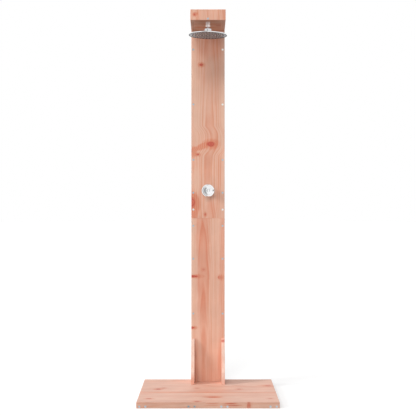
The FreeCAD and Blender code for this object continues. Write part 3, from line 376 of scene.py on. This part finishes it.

# %% Boards of the arm
# The arm's faces that look down are painted darker and browner: a painted shade under the arm.
PAINTED_SHADE_UNDER_ARM = (0.76, 0.66, 0.58)
PAINTED_SHADE_UNDER_SIDES = (0.68, 0.58, 0.50)
dress(
    softwood(
        "fascia_wood", "Z", "X", (0.01, 0.02), (0.1, 0.02), 0.007, 31.0,
        [(1.9735, -0.0695, 0.006, 0.005, 0.9), (1.979, -0.056, 0.004, 0.003, 0.3)],
        [
            (1.97, -0.001, 0.05, 0.005, 0.0, 0.5),
            (1.97, 0.080, 0.05, 0.010, 0.0, 0.5),
            (1.975, -0.064, 0.012, 0.016, 0.0, 0.5),
        ],
        painted_under_shade=PAINTED_SHADE_UNDER_ARM,
    ),
    "arm_fascia",
)
dress(
    softwood("arm_top_wood", "Y", "X", (-0.01, 1.93), (0.02, 0.05), 0.007, 33.0, [(0.2, 0.03, 0.009, 0.007, 0.8)]),
    "arm_top_board",
)
dress(
    softwood(
        "arm_underside_wood", "X", "Y", (0.1, 1.90), (0.05, 0.05), 0.012, 35.0,
        [(0.055, 0.10, 0.014, 0.016, 0.5)],
        [
            (-0.03, -0.02, 0.09, 0.012, 0.0, 0.8),
            (0.03, 0.06, 0.08, 0.014, 0.0, 0.7),
            (-0.04, 0.15, 0.10, 0.018, 0.0, 0.8),
            (0.0, 0.02, 0.10, 0.014, 0.0, -0.6),
            (0.0, 0.11, 0.10, 0.018, 0.0, -0.6),
        ],
        painted_under_shade=PAINTED_SHADE_UNDER_ARM,
    ),
    "arm_underside_board",
)
for name, through in (("left", -0.16), ("right", 0.15)):
    dress(
        softwood(
            f"arm_{name}_wood", "Y", "Z", (1.96, through), (0.02, 0.02), 0.006, 37.0 + through, painted_under_shade=PAINTED_SHADE_UNDER_SIDES,
        ),
        f"arm_side_{name}",
    )

# %% Boards of the deck
# The deck boards are painted paler and whiter: a painted sheen for the light on their tops.
PAINTED_SHEEN_TONE = (1.0, 1.07, 1.14)
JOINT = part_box("deck_rear_panel")[0].y
dress(
    softwood(
        "front_panel_wood", "X", "Y", heart=(-0.19, -0.06), lean=(0.06, 0.05), pitch=0.009, seed=41.0,
        knots=[
            (-0.294, -0.217, 0.015, 0.010, 0.7),
            (-0.054, -0.288, 0.012, 0.010, 0.9),
            (0.310, -0.212, 0.012, 0.009, 0.5),
            (0.022, -0.178, 0.024, 0.012, 0.4),
        ],
        bands=[
            (0.022, -0.175, 0.060, 0.030, 0.0, 0.7),
            (0.000, JOINT, 0.500, 0.011, 0.0, 1.0),
            (-0.320, -0.100, 0.060, 0.020, 0.0, 0.4),
        ],
        tone=PAINTED_SHEEN_TONE,
    ),
    "deck_front_panel",
)
dress(
    softwood(
        "rear_panel_wood", "X", "Y", heart=(0.12, -0.05), lean=(0.05, 0.06), pitch=0.009, seed=43.0,
        knots=[
            (-0.260, 0.028, 0.014, 0.014, 0.8),
            (-0.233, 0.060, 0.012, 0.012, 0.4),
            (-0.058, 0.055, 0.010, 0.010, 0.4),
            (0.162, 0.030, 0.012, 0.012, 0.5),
            (0.319, 0.122, 0.015, 0.014, 0.6),
        ],
        bands=[
            (0.000, JOINT, 0.500, 0.011, 0.0, 1.0),
            (0.030, -0.020, 0.140, 0.050, 0.0, 0.35),
            (-0.16, 0.28, 0.05, 0.02, 0.0, 0.5),
        ],
        tone=PAINTED_SHEEN_TONE,
    ),
    "deck_rear_panel",
)
dress(
    softwood(
        "front_rail_wood", "X", "Z", heart=(0.03, -0.26), lean=(0.03, 0.02), pitch=0.006, seed=45.0,
        knots=[
            (0.199, 0.014, 0.0085, 0.026, 0.25),
            (0.108, 0.0245, 0.018, 0.0016, 0.6),
            (0.122, 0.0150, 0.026, 0.0018, 0.7),
        ],
        bands=[
            (0.020, 0.0235, 0.035, 0.003, 0.0, 0.9),
            (0.020, 0.0150, 0.045, 0.002, 0.0, 0.7),
            (0.199, 0.0140, 0.010, 0.030, 0.0, 0.9),
            (0.112, 0.0240, 0.030, 0.003, -0.06, 1.3),
            (0.118, 0.0160, 0.045, 0.003, 0.0, 1.3),
            (0.118, 0.0070, 0.040, 0.002, 0.06, 0.6),
        ],
        tone=(0.84, 0.83, 0.83),
    ),
    "deck_front_rail",
)
dress(
    softwood("back_rail_wood", "X", "Z", (0.0, 0.26), (0.03, 0.02), 0.006, 46.0, [(-0.1, 0.012, 0.006, 0.006, 0.8)]),
    "deck_back_rail",
)
for count in range(1, 5):
    middle = sum(corner.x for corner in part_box(f"deck_bearer_{count}")) / 2
    bearer_knots = [(0.2 - 0.13 * count, middle - 0.008, 0.008, 0.006, 0.8)]
    dress(
        softwood(
            f"bearer_{count}_wood", "Y", "X", (middle + 0.02, 0.06), (0.03, 0.02), 0.006, 50.0 + count, bearer_knots,
        ),
        f"deck_bearer_{count}",
    )
print("arm and deck boards dressed")

# %% [markdown]
# The metals differ mostly in how they are worked. Chrome is a thin bright skin with faint hazing, zinc plating
# on the screws is cooler and duller, cast brass has the fine pitting of its sand mould, and drawn pipe has
# hairlines along its length. Four screws carry a painted highlight: the two just above the board joint and two at
# the column's upper right are painted brighter than the rest.

# %% Metals
# These four screws are painted brighter: a painted highlight.
PAINTED_GLINT_SPOTS = [(-0.08, 0.968), (0.08, 0.968), (0.08, 1.841), (0.08, 1.541)]
PAINTED_GLINT_STEEL = (0.95, 0.94, 0.92)
WORN_GREY = (0.72, 0.72, 0.72)
SPOT_OUTSIDE, SPOT_INSIDE = 0.0004, 0.0002  # squares of a distance in metres


def metal(name, colour, rough, spread, grain, pits=0.0, stretch=(1, 1, 1), dull=0.0, painted_glints=()):
    """A metal whose gloss varies with a fine grain, with pits in metres and a share of duller patches.

    painted_glints: the (x, z) places of pieces painted brighter than the rest, a painted highlight.
    """
    finish = Finish(name, metallic=1.0)
    x, y, z = finish.place()
    point = finish.point(x * stretch[0], y * stretch[1], z * stretch[2])
    fine = finish.noise(point, grain, 4.0, 0.6)
    patches = finish.noise(point, grain * 0.06).step(0.45, 0.75)
    for spot_x, spot_z in painted_glints:
        off_x, off_z = x - spot_x, z - spot_z
        near = (off_x * off_x + off_z * off_z).step(SPOT_OUTSIDE, SPOT_INSIDE)
        colour = finish.mix(near, colour, PAINTED_GLINT_STEEL)
    worn = finish.mix(patches * (0.25 + dull), (1, 1, 1), WORN_GREY)
    finish.set(base_color=finish.mix(1.0, colour, worn, "MULTIPLY"))
    finish.set(roughness=fine * spread + (patches * dull * 0.4 + rough))
    if pits:
        finish.bump(fine, pits, 0.5)
    return finish.material


chrome = metal("polished_chrome", (0.88, 0.89, 0.90), 0.04, 0.05, 900.0, dull=0.05)
# This chrome's pink tint is a painted reflection of the wood round it; its haze is its roughness.
hazed_chrome_painted_reflection = metal("hazed_chrome_painted_reflection", (0.84, 0.75, 0.72), 0.24, 0.12, 900.0, dull=0.1)
# This chrome is painted dark, a painted shade: it gives the lever's pin the dark look of its shaded underside.
painted_shade_chrome = metal("painted_shade_chrome", (0.36, 0.37, 0.37), 0.14, 0.08, 900.0, dull=0.1)
union_chrome = metal("union_chrome", (0.68, 0.68, 0.69), 0.08, 0.06, 900.0, dull=0.1)
satin_steel = metal("satin_steel", (0.42, 0.485, 0.535), 0.3, 0.15, 1500.0, pits=0.00002, stretch=(1, 12, 1))
zinc = metal("bright_zinc", (0.55, 0.61, 0.66), 0.28, 0.2, 2500.0, pits=0.00003, painted_glints=PAINTED_GLINT_SPOTS)
galvanised = metal("galvanised_steel", (0.52, 0.54, 0.56), 0.38, 0.2, 300.0, pits=0.00004, dull=0.25)
cast_brass = metal("cast_brass", (0.62, 0.43, 0.19), 0.32, 0.2, 1400.0, pits=0.00008, dull=0.15)
turned_brass = metal("turned_brass", (0.70, 0.50, 0.23), 0.2, 0.12, 2000.0, pits=0.00002, stretch=(1, 1, 14))
drawn_pipe = metal("drawn_pipe", (0.70, 0.36, 0.22), 0.24, 0.14, 1200.0, pits=0.00002, stretch=(1, 1, 0.02), dull=0.2)


# %% Rubber and plastic
def moulded(name, colour, rough, grain=1800.0, depth=0.00003, dust=0.1):
    """Rubber or plastic with a fine skin and a little dust."""
    finish = Finish(name)
    point = finish.point(*finish.place())
    skin = finish.noise(point, grain)
    worn = finish.noise(point, grain * 0.03).step(0.4, 0.8)
    lighter = tuple(part * 0.8 + 0.12 for part in colour)
    finish.set(base_color=finish.mix(worn * dust, colour, lighter), roughness=skin * 0.2 + rough)
    finish.bump(skin, depth, 0.4)
    return finish.material


black_rubber = moulded("black_rubber", (0.02, 0.02, 0.022), 0.55)
nozzle_rubber = moulded("nozzle_rubber", (0.015, 0.015, 0.017), 0.5)
white_plastic = moulded("white_plastic", (0.74, 0.73, 0.70), 0.35)
clip_plastic = moulded("clip_plastic", (0.05, 0.05, 0.055), 0.4)

dress(
    zinc, "column_screws", "rail_screws", "short_screws", "gusset_screws", "arm_screws", "bracket_screws",
    "handle_screw",
)
dress(satin_steel, "face_plate")
dress(black_rubber, "cover_seal", "inlet_washer", "ball_seal", "face_seal")
dress(white_plastic, "ball_slip_ring")
dress(turned_brass, "valve_cartridge", "valve_spindle")

# %% [markdown]
# The chrome pieces are turned again here with far finer curves than the solids need. A turned piece starts as
# one point, is extruded into the outline of one half of the piece, and is spun round its axis as on a lathe. A
# small bevel then breaks its edges, because a real edge always catches a line of light.


# %% The lathe
def soften(piece, width, segments=3, sharp=32):
    """Breaks a piece's sharp edges with a small bevel, in millimetres, and shades the rest smooth."""
    bpy.ops.object.select_all(action="DESELECT")
    piece.select_set(True)
    bpy.context.view_layer.objects.active = piece
    bpy.ops.object.modifier_add(type="BEVEL")
    bevel = piece.modifiers[-1]
    bevel.width = width * MM
    bevel.segments = segments
    bevel.limit_method = "ANGLE"
    bevel.angle_limit = math.radians(sharp)
    bpy.ops.object.modifier_apply(modifier=bevel.name)
    bpy.ops.object.shade_smooth_by_angle(angle=math.radians(sharp))
    return piece


def lathe(name, outline, steps=96, edge=0.3):
    """Spins an outline of (radius, height) in millimetres round Z, closed unless both its ends are on the axis."""
    bpy.ops.object.select_all(action="DESELECT")
    bpy.ops.mesh.primitive_plane_add(size=MM)
    piece = bpy.context.object
    piece.name = piece.data.name = name
    bpy.ops.object.mode_set(mode="EDIT")
    bpy.ops.mesh.select_all(action="SELECT")
    bpy.ops.mesh.merge(type="CENTER")
    if outline[0][0] or outline[-1][0]:
        outline = outline + outline[:1]
    here = (0, 0)
    for count, there in enumerate(outline):
        move = ((there[0] - here[0]) * MM, 0, (there[1] - here[1]) * MM)
        if count:
            bpy.ops.mesh.extrude_vertices_move(TRANSFORM_OT_translate={"value": move})
        else:
            bpy.ops.transform.translate(value=move)
        here = there
    bpy.ops.mesh.select_all(action="SELECT")
    bpy.ops.mesh.remove_doubles(threshold=WELD)
    bpy.ops.mesh.spin(steps=steps, angle=2 * math.pi, center=(0, 0, 0), axis=(0, 0, 1))
    bpy.ops.mesh.select_all(action="SELECT")
    bpy.ops.mesh.remove_doubles(threshold=WELD)
    bpy.ops.mesh.normals_make_consistent(inside=False)
    bpy.ops.object.mode_set(mode="OBJECT")
    return soften(piece, edge)


def arc(radius, centre, start, end, count):
    """Points on a circle about a centre on the axis, between two angles in degrees up from level."""
    angles = [math.radians(start + (end - start) * k / (count - 1)) for k in range(count)]
    return [(radius * math.cos(angle), centre + radius * math.sin(angle)) for angle in angles]


def place_piece(piece, material, body, slot, *nodes, at=(0, 0, 0), turn=None):
    """Puts a piece in place, in metres, gives it its material, hangs it on the body it moves with and hides the nodes
    that it stands for.
    """
    piece.data.transform(Matrix.Translation(at) @ (turn or Matrix()))
    piece.data.materials.clear()
    piece.data.materials.append(material)
    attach(piece, body)
    if nodes:
        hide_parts(*nodes)
    print(piece.name, len(piece.data.polygons), "faces")


# %% [markdown]
# The valve's cover and handle lie on one axis, which points at the user from the column's front face. Heights
# here are distances out from that face. The cover is a pressed dish, the ring grips the neck of the valve, and
# the knob is a deep turned cup with a crowned front, a short pin for a lever and a pressed-in cap.

# %% Cover, ring and handle
VALVE = Vector((0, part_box("column_front_upper")[0].y, 1.072))
OUT = Matrix.Rotation(math.radians(90), 4, "X")
cover = lathe(
    "cover_dish",
    [(34, 1), (35.5, 1), (35.5, 3.2), (35.2, 4.2), (34.4, 5.3), (32.8, 6.9), (31, 8.1), (29.4, 8.8), (28, 9)]
    + [(13.3, 9), (13.3, 7.5), (27.6, 7.5), (30, 6.8), (32, 5.4), (33.6, 3.4)],
    steps=128,
)
place_piece(cover, chrome, "post", "chrome", "cover_plate", at=VALVE, turn=OUT)
ring = lathe("cover_collar", [(13.1, 9), (16, 9), (16, 11), (15, 12), (13.1, 12)])
place_piece(ring, chrome, "post", "chrome", "cover_ring", at=VALVE, turn=OUT)

knob = lathe(
    "knob_cup",
    [(19, 10), (24.8, 10), (25.5, 10.7), (25.5, 14), (25.1, 14.5), (25.1, 16), (25.5, 16.5)]
    + [(25.5, 43.4), (25.3, 44.6), (24.6, 45.6), (23.4, 46.2), (21, 46.6), (17, 47.1), (13, 47.45), (9.2, 47.7)]
    + [(8.1, 47.5), (8.1, 44.5), (4.2, 44.5), (4.2, 40), (2.1, 40), (2.1, 36), (4.05, 36), (4.05, 25), (19, 25)],
    steps=128, edge=0.25,
)
place_piece(knob, chrome, "handle", "chrome", "handle_knob", at=VALVE, turn=OUT)
cap = lathe("knob_cap", [(0, 44.5), (7.9, 44.5), (7.9, 47.3), (7.3, 47.75), (4, 48), (0, 48)], edge=0.2)
place_piece(cap, chrome, "handle", "chrome", "handle_cap", at=VALVE, turn=OUT)
pin = lathe(
    "lever_pin",
    [(0, 20), (4.2, 20), (4.2, 26.2), (3.9, 26.6), (3.9, 27.6)]
    + [(4.2, 28), (4.2, 31), (3.7, 32.5), (2.4, 33.3), (0, 33.5)],
    steps=64, edge=0.2,
)
LEVER_OUT = 34 * MM
# The lever's pin is in chrome painted dark: a painted shade.
place_piece(
    pin, painted_shade_chrome, "handle", "chrome", "handle_lever",
    at=VALVE - Vector((0, LEVER_OUT, 0)), turn=Matrix.Rotation(math.radians(90), 4, "Y"),
)

# %% [markdown]
# Under the arm the water drops through a threaded nipple, held by a round lock nut, into the collar of the
# ball. The union nut hangs the head on that ball. The drop's thread shows in the gap between the two nuts, so
# it is cut here as a stack of shallow rings.

# %% Drop and ball joint
BALL = Vector((0, 0.003, 1.906))
ROLL = Matrix.Rotation(math.radians(1), 4, "Y")  # the head hangs one degree off level
CREST, ROOT, THREAD_FOOT, HALF_PITCH, THREAD_POINTS = 10.3, 9.6, 23.2, 0.55, 60
THREAD = [(CREST if k % 2 else ROOT, THREAD_FOOT + k * HALF_PITCH) for k in range(THREAD_POINTS)]
nipple = lathe(
    "drop_thread",
    [(7, 17), (CREST, 17), (CREST, 22.6)] + THREAD + [(CREST, 57), (CREST, 67), (7, 67)],
    steps=48, edge=0.05,
)
place_piece(nipple, hazed_chrome_painted_reflection, "post", "chrome", "drop_nipple", at=BALL)
lock = lathe(
    "drop_collar",
    [(10.4, 27.5), (11.2, 27.5), (11.8, 28.3), (11.8, 34), (11.4, 34.4)]
    + [(11.4, 35.2), (11.8, 35.6), (11.8, 39), (10.4, 39)],
)
place_piece(lock, hazed_chrome_painted_reflection, "post", "chrome", "drop_lock_nut", at=BALL)
ball = lathe(
    "ball_and_collar",
    [(4, -10.78)] + arc(11.5, 0, -65, 52, 26)
    + [(6.5, 9.6), (6.5, 12.5), (11.2, 12.5), (12, 13.3), (12, 23.7)]
    + [(11.4, 24.5), (10.4, 24.5), (10.4, 15.5), (4, 15.5)],
    edge=0.2,
)
place_piece(ball, hazed_chrome_painted_reflection, "post", "chrome", "swivel_ball", at=BALL)
nut = lathe(
    "union_shell",
    [(17.5, -13), (17.5, 1.5), (17.2, 3.0), (16.4, 4.6), (15.2, 6.2), (13.9, 7.4)]
    + [(12.6, 8), (11.2, 8), (9.9, 6.33)]
    + arc(11.75, 0, 30, -4.9, 10) + [(15.7, -1), (15.7, -13)],
    steps=128,
)
place_piece(nut, union_chrome, "shower_head", "chrome", "ball_nut", at=BALL, turn=ROLL)

# %% [markdown]
# The head is two pressings: a shallow dome with a rolled rim, and a flat steel face that carries the nozzles.
# Seen from below its face is grey and finely brushed, and only the rim flashes. A thin black bead runs round the
# head's lip and gives it a dark edge.

# %% Shower head
RIM_RADIUS, DOME_TOP, RIM_TOP, RIM_FOOT, WALL = 100.0, -14.5, -26.0, -31.0, 2.0
RISE = DOME_TOP - RIM_TOP
BEND = (RIM_RADIUS**2 + RISE**2) / 2 / RISE


def dome(radius, low, high, count):
    """Points along the dome between two distances from its axis."""
    steps = [low + (high - low) * k / (count - 1) for k in range(count)]
    return [(across, DOME_TOP - BEND + math.sqrt(radius**2 - across**2)) for across in steps]


head = lathe(
    "head_dome",
    [(88, -28), (96.2, -28), (96.2, RIM_FOOT), (98.8, RIM_FOOT), (99.7, -30.3)]
    + [(100, -29.2), (100, -27.8), (99.7, -26.8), (98.8, -26.05)]
    + dome(BEND, 96, 15.6, 24)
    + [(15.6, -1.25), (13.7, -1.25)]
    + arc(13.75, 0, -6, -66, 16)
    + dome(BEND - WALL, 5.5, 88, 20),
    steps=160, edge=0.2,
)
place_piece(head, chrome, "shower_head", "chrome", "head_shell", at=BALL, turn=ROLL)

bead = lathe(
    "rim_bead",
    [(95.5, -31), (99.0, -31), (99.3, -31.4), (98.9, -32.0), (98, -32.3), (96.4, -32.3), (95.6, -31.9)],
    steps=160, edge=0.1,
)
place_piece(bead, black_rubber, "shower_head", "rubber", at=BALL, turn=ROLL)

NOZZLE_STEP, FACE = 16.0, -29.0
NOZZLE_ROWS, IN_FIRST_ROW = 5, 6
tip = lathe(
    "nozzle_tip",
    [(0.6, 0.8), (2.7, 0.8), (3, 0.5), (3, 0), (1.9, 0)]
    + [(1.9, -2.1), (2.3, -2.2), (2.3, -2.7), (1.5, -4.4), (0.6, -4.5)],
    steps=12, edge=0.1,
)
tips = []
for row in range(1, NOZZLE_ROWS + 1):
    count = IN_FIRST_ROW * row
    for step in range(count):
        angle = 2 * math.pi * step / count
        copy = bpy.data.objects.new("nozzle_copy", tip.data.copy())
        spot = (row * NOZZLE_STEP * math.cos(angle), row * NOZZLE_STEP * math.sin(angle), FACE)
        copy.data.transform(Matrix.Translation(Vector(spot) * MM))
        bpy.context.scene.collection.objects.link(copy)
        tips.append(copy)
bpy.data.objects.remove(tip)
bpy.ops.object.select_all(action="DESELECT")
for copy in tips:
    copy.select_set(True)
bpy.context.view_layer.objects.active = tips[0]
bpy.ops.object.join()
tips[0].name = tips[0].data.name = "nozzle_tips"
place_piece(tips[0], nozzle_rubber, "shower_head", "nozzle_rubber", "nozzles", at=BALL, turn=ROLL)

# %% [markdown]
# The pipework and the ironwork at the back keep the shape of their solids. A copy of each is merged into one
# skin, its flats are cleaned of the mesh lines that the solid's export leaves, and its edges are broken, which
# is how a casting or a cut plate looks once it has been tumbled.


# %% Pipework and ironwork
def refine(node, name, material, slot, width, sharp=30):
    """A merged copy of a CAD node with broken edges, in its place on the post."""
    piece = bpy.data.objects.new(name, NODES[node].data.copy())
    bpy.context.scene.collection.objects.link(piece)
    bpy.ops.object.select_all(action="DESELECT")
    piece.select_set(True)
    bpy.context.view_layer.objects.active = piece
    bpy.ops.mesh.customdata_custom_splitnormals_clear()
    bpy.ops.object.mode_set(mode="EDIT")
    bpy.ops.mesh.select_all(action="SELECT")
    bpy.ops.mesh.remove_doubles(threshold=WELD)
    bpy.ops.mesh.dissolve_limited(angle_limit=math.radians(0.5))
    bpy.ops.object.mode_set(mode="OBJECT")
    place_piece(soften(piece, width, 2, sharp), material, "post", slot, node)


for node, name, material, slot, width in (
    ("riser_pipe_lower", "riser_lower", drawn_pipe, "pipe_metal", 0.1),
    ("riser_pipe_upper", "riser_upper", drawn_pipe, "pipe_metal", 0.1),
    ("arm_pipe", "pipe_in_arm", drawn_pipe, "pipe_metal", 0.1),
    ("top_elbow", "elbow_casting", cast_brass, "brass", 0.3),
    ("drop_elbow", "drop_casting", cast_brass, "brass", 0.3),
    ("valve_body", "valve_casting", cast_brass, "brass", 0.4),
    ("union_nuts", "pipe_nuts", turned_brass, "brass", 0.3),
    ("valve_lock_nut", "valve_nut", turned_brass, "brass", 0.2),
    ("hose_connector", "hose_tail", turned_brass, "brass", 0.2),
    ("pipe_clips", "pipe_saddles", clip_plastic, "clip_plastic", 0.2),
    ("base_brackets", "base_angles", galvanised, "zinc_steel", 0.2),
    ("joint_plates", "arm_plates", galvanised, "zinc_steel", 0.2),
):
    refine(node, name, material, slot, width)

# %% [markdown]
# The floor is a broad pale sheet. Seen straight on it should be as white as the page behind it, yet keep the
# object's shadow, so to the camera it glows a little on top of the light that falls on it. The sky behind is
# white to the camera and in reflections, and lights everything else more weakly. Polished metal also mirrors a
# dim side of the studio, to the left of the camera: there the sky falls to that weaker level, and the floor is
# darker too.

# %% Floor and background
bpy.ops.object.select_all(action="DESELECT")
bpy.ops.mesh.primitive_circle_add(vertices=96, radius=60, fill_type="NGON", location=(0, 0, 0))
floor = bpy.context.object
floor.name = "floor"
floor_paint = bpy.data.materials.new("floor_paint")
paint = Tree(floor_paint)
paint.nodes.clear()
DIM_SIDE = Vector((-0.36, -0.93, 0.0)).normalized()
DIM_EDGE, DIM_CORE = 0.93, 0.98  # cosines of the angle from the dim side
DIM_LEVEL = 0.2
FLOOR_GREY = (0.58, 0.58, 0.58, 1)
DIM_FLOOR_GREY = (0.25, 0.25, 0.25, 1)
FLOOR_GLOW = 0.5


def mirrored(tree, towards):
    """How bright a polished surface sees the studio in a direction."""
    towards = tree.add("ShaderNodeVectorMath", {"operation": "NORMALIZE"}, [towards])
    cosine = tree.add("ShaderNodeVectorMath", {"operation": "DOT_PRODUCT"}, [towards, DIM_SIDE], "Value")
    return cosine.step(DIM_EDGE, DIM_CORE, 1.0, DIM_LEVEL)


camera_ray, glossy_ray = (paint.add("ShaderNodeLightPath", {}, {}, f"Is {kind} Ray") for kind in ("Camera", "Glossy"))
dimmed = glossy_ray * (1.0 - mirrored(paint, paint.add("ShaderNodeTexCoord", {}, {}, "Object")))
matt = paint.add("ShaderNodeBsdfDiffuse", {}, {"Color": FLOOR_GREY})
glow = paint.add("ShaderNodeEmission", {}, {"Strength": camera_ray.most(glossy_ray) * FLOOR_GLOW})
bright_floor = paint.add("ShaderNodeAddShader", {}, [matt, glow])
dim_floor = paint.add("ShaderNodeBsdfDiffuse", {}, {"Color": DIM_FLOOR_GREY})
surface = paint.add("ShaderNodeMixShader", {}, [dimmed, bright_floor, dim_floor])
paint.plug(paint.nodes.new("ShaderNodeOutputMaterial").inputs["Surface"], surface)
floor.data.materials.append(floor_paint)

world = bpy.data.worlds.new("world")
bpy.context.scene.world = world
studio = Tree(world)
camera_ray, glossy_ray, through_ray = (
    studio.add("ShaderNodeLightPath", {}, {}, f"Is {kind} Ray") for kind in ("Camera", "Glossy", "Transmission")
)
in_metal = glossy_ray * mirrored(studio, studio.add("ShaderNodeTexCoord", {}, {}, "Generated"))
white = camera_ray.most(through_ray)
AMBIENT = 0.42
background = studio.nodes["Background"]
background.inputs["Color"].default_value = (1, 1, 1, 1)
studio.plug(background.inputs["Strength"], white.most(in_metal).most(AMBIENT))

# %% [markdown]
# The shadows in the photograph run to the right and back across the deck, from a low lamp at the left. A second
# lamp stands high at the front, and throws the shadow of the arm and the head onto the top of the column. The
# deck is brighter than the upright boards, so a third lamp lights it from high at the left. It barely touches the
# column's front, so it deepens the shadow on the deck and throws none of the knob.


# %% Lights
def sun(name, towards, watts, spread):
    """A light from far off that shines along a direction; spread is its apparent size in degrees."""
    light = bpy.data.lights.new(name, "SUN")
    light.energy = watts
    light.angle = math.radians(spread)
    lamp = bpy.data.objects.new(name, light)
    lamp.rotation_euler = Vector(towards).to_track_quat("-Z", "Y").to_euler()
    lamp.visible_glossy = False
    bpy.context.scene.collection.objects.link(lamp)


sun("key_light", (0.835, 0.385, -0.40), 1.45, 20)
sun("front_light", (0.18, 0.79, -0.575), 1.2, 22)
sun("deck_light", (0.62, 0.05, -0.78), 0.62, 8)
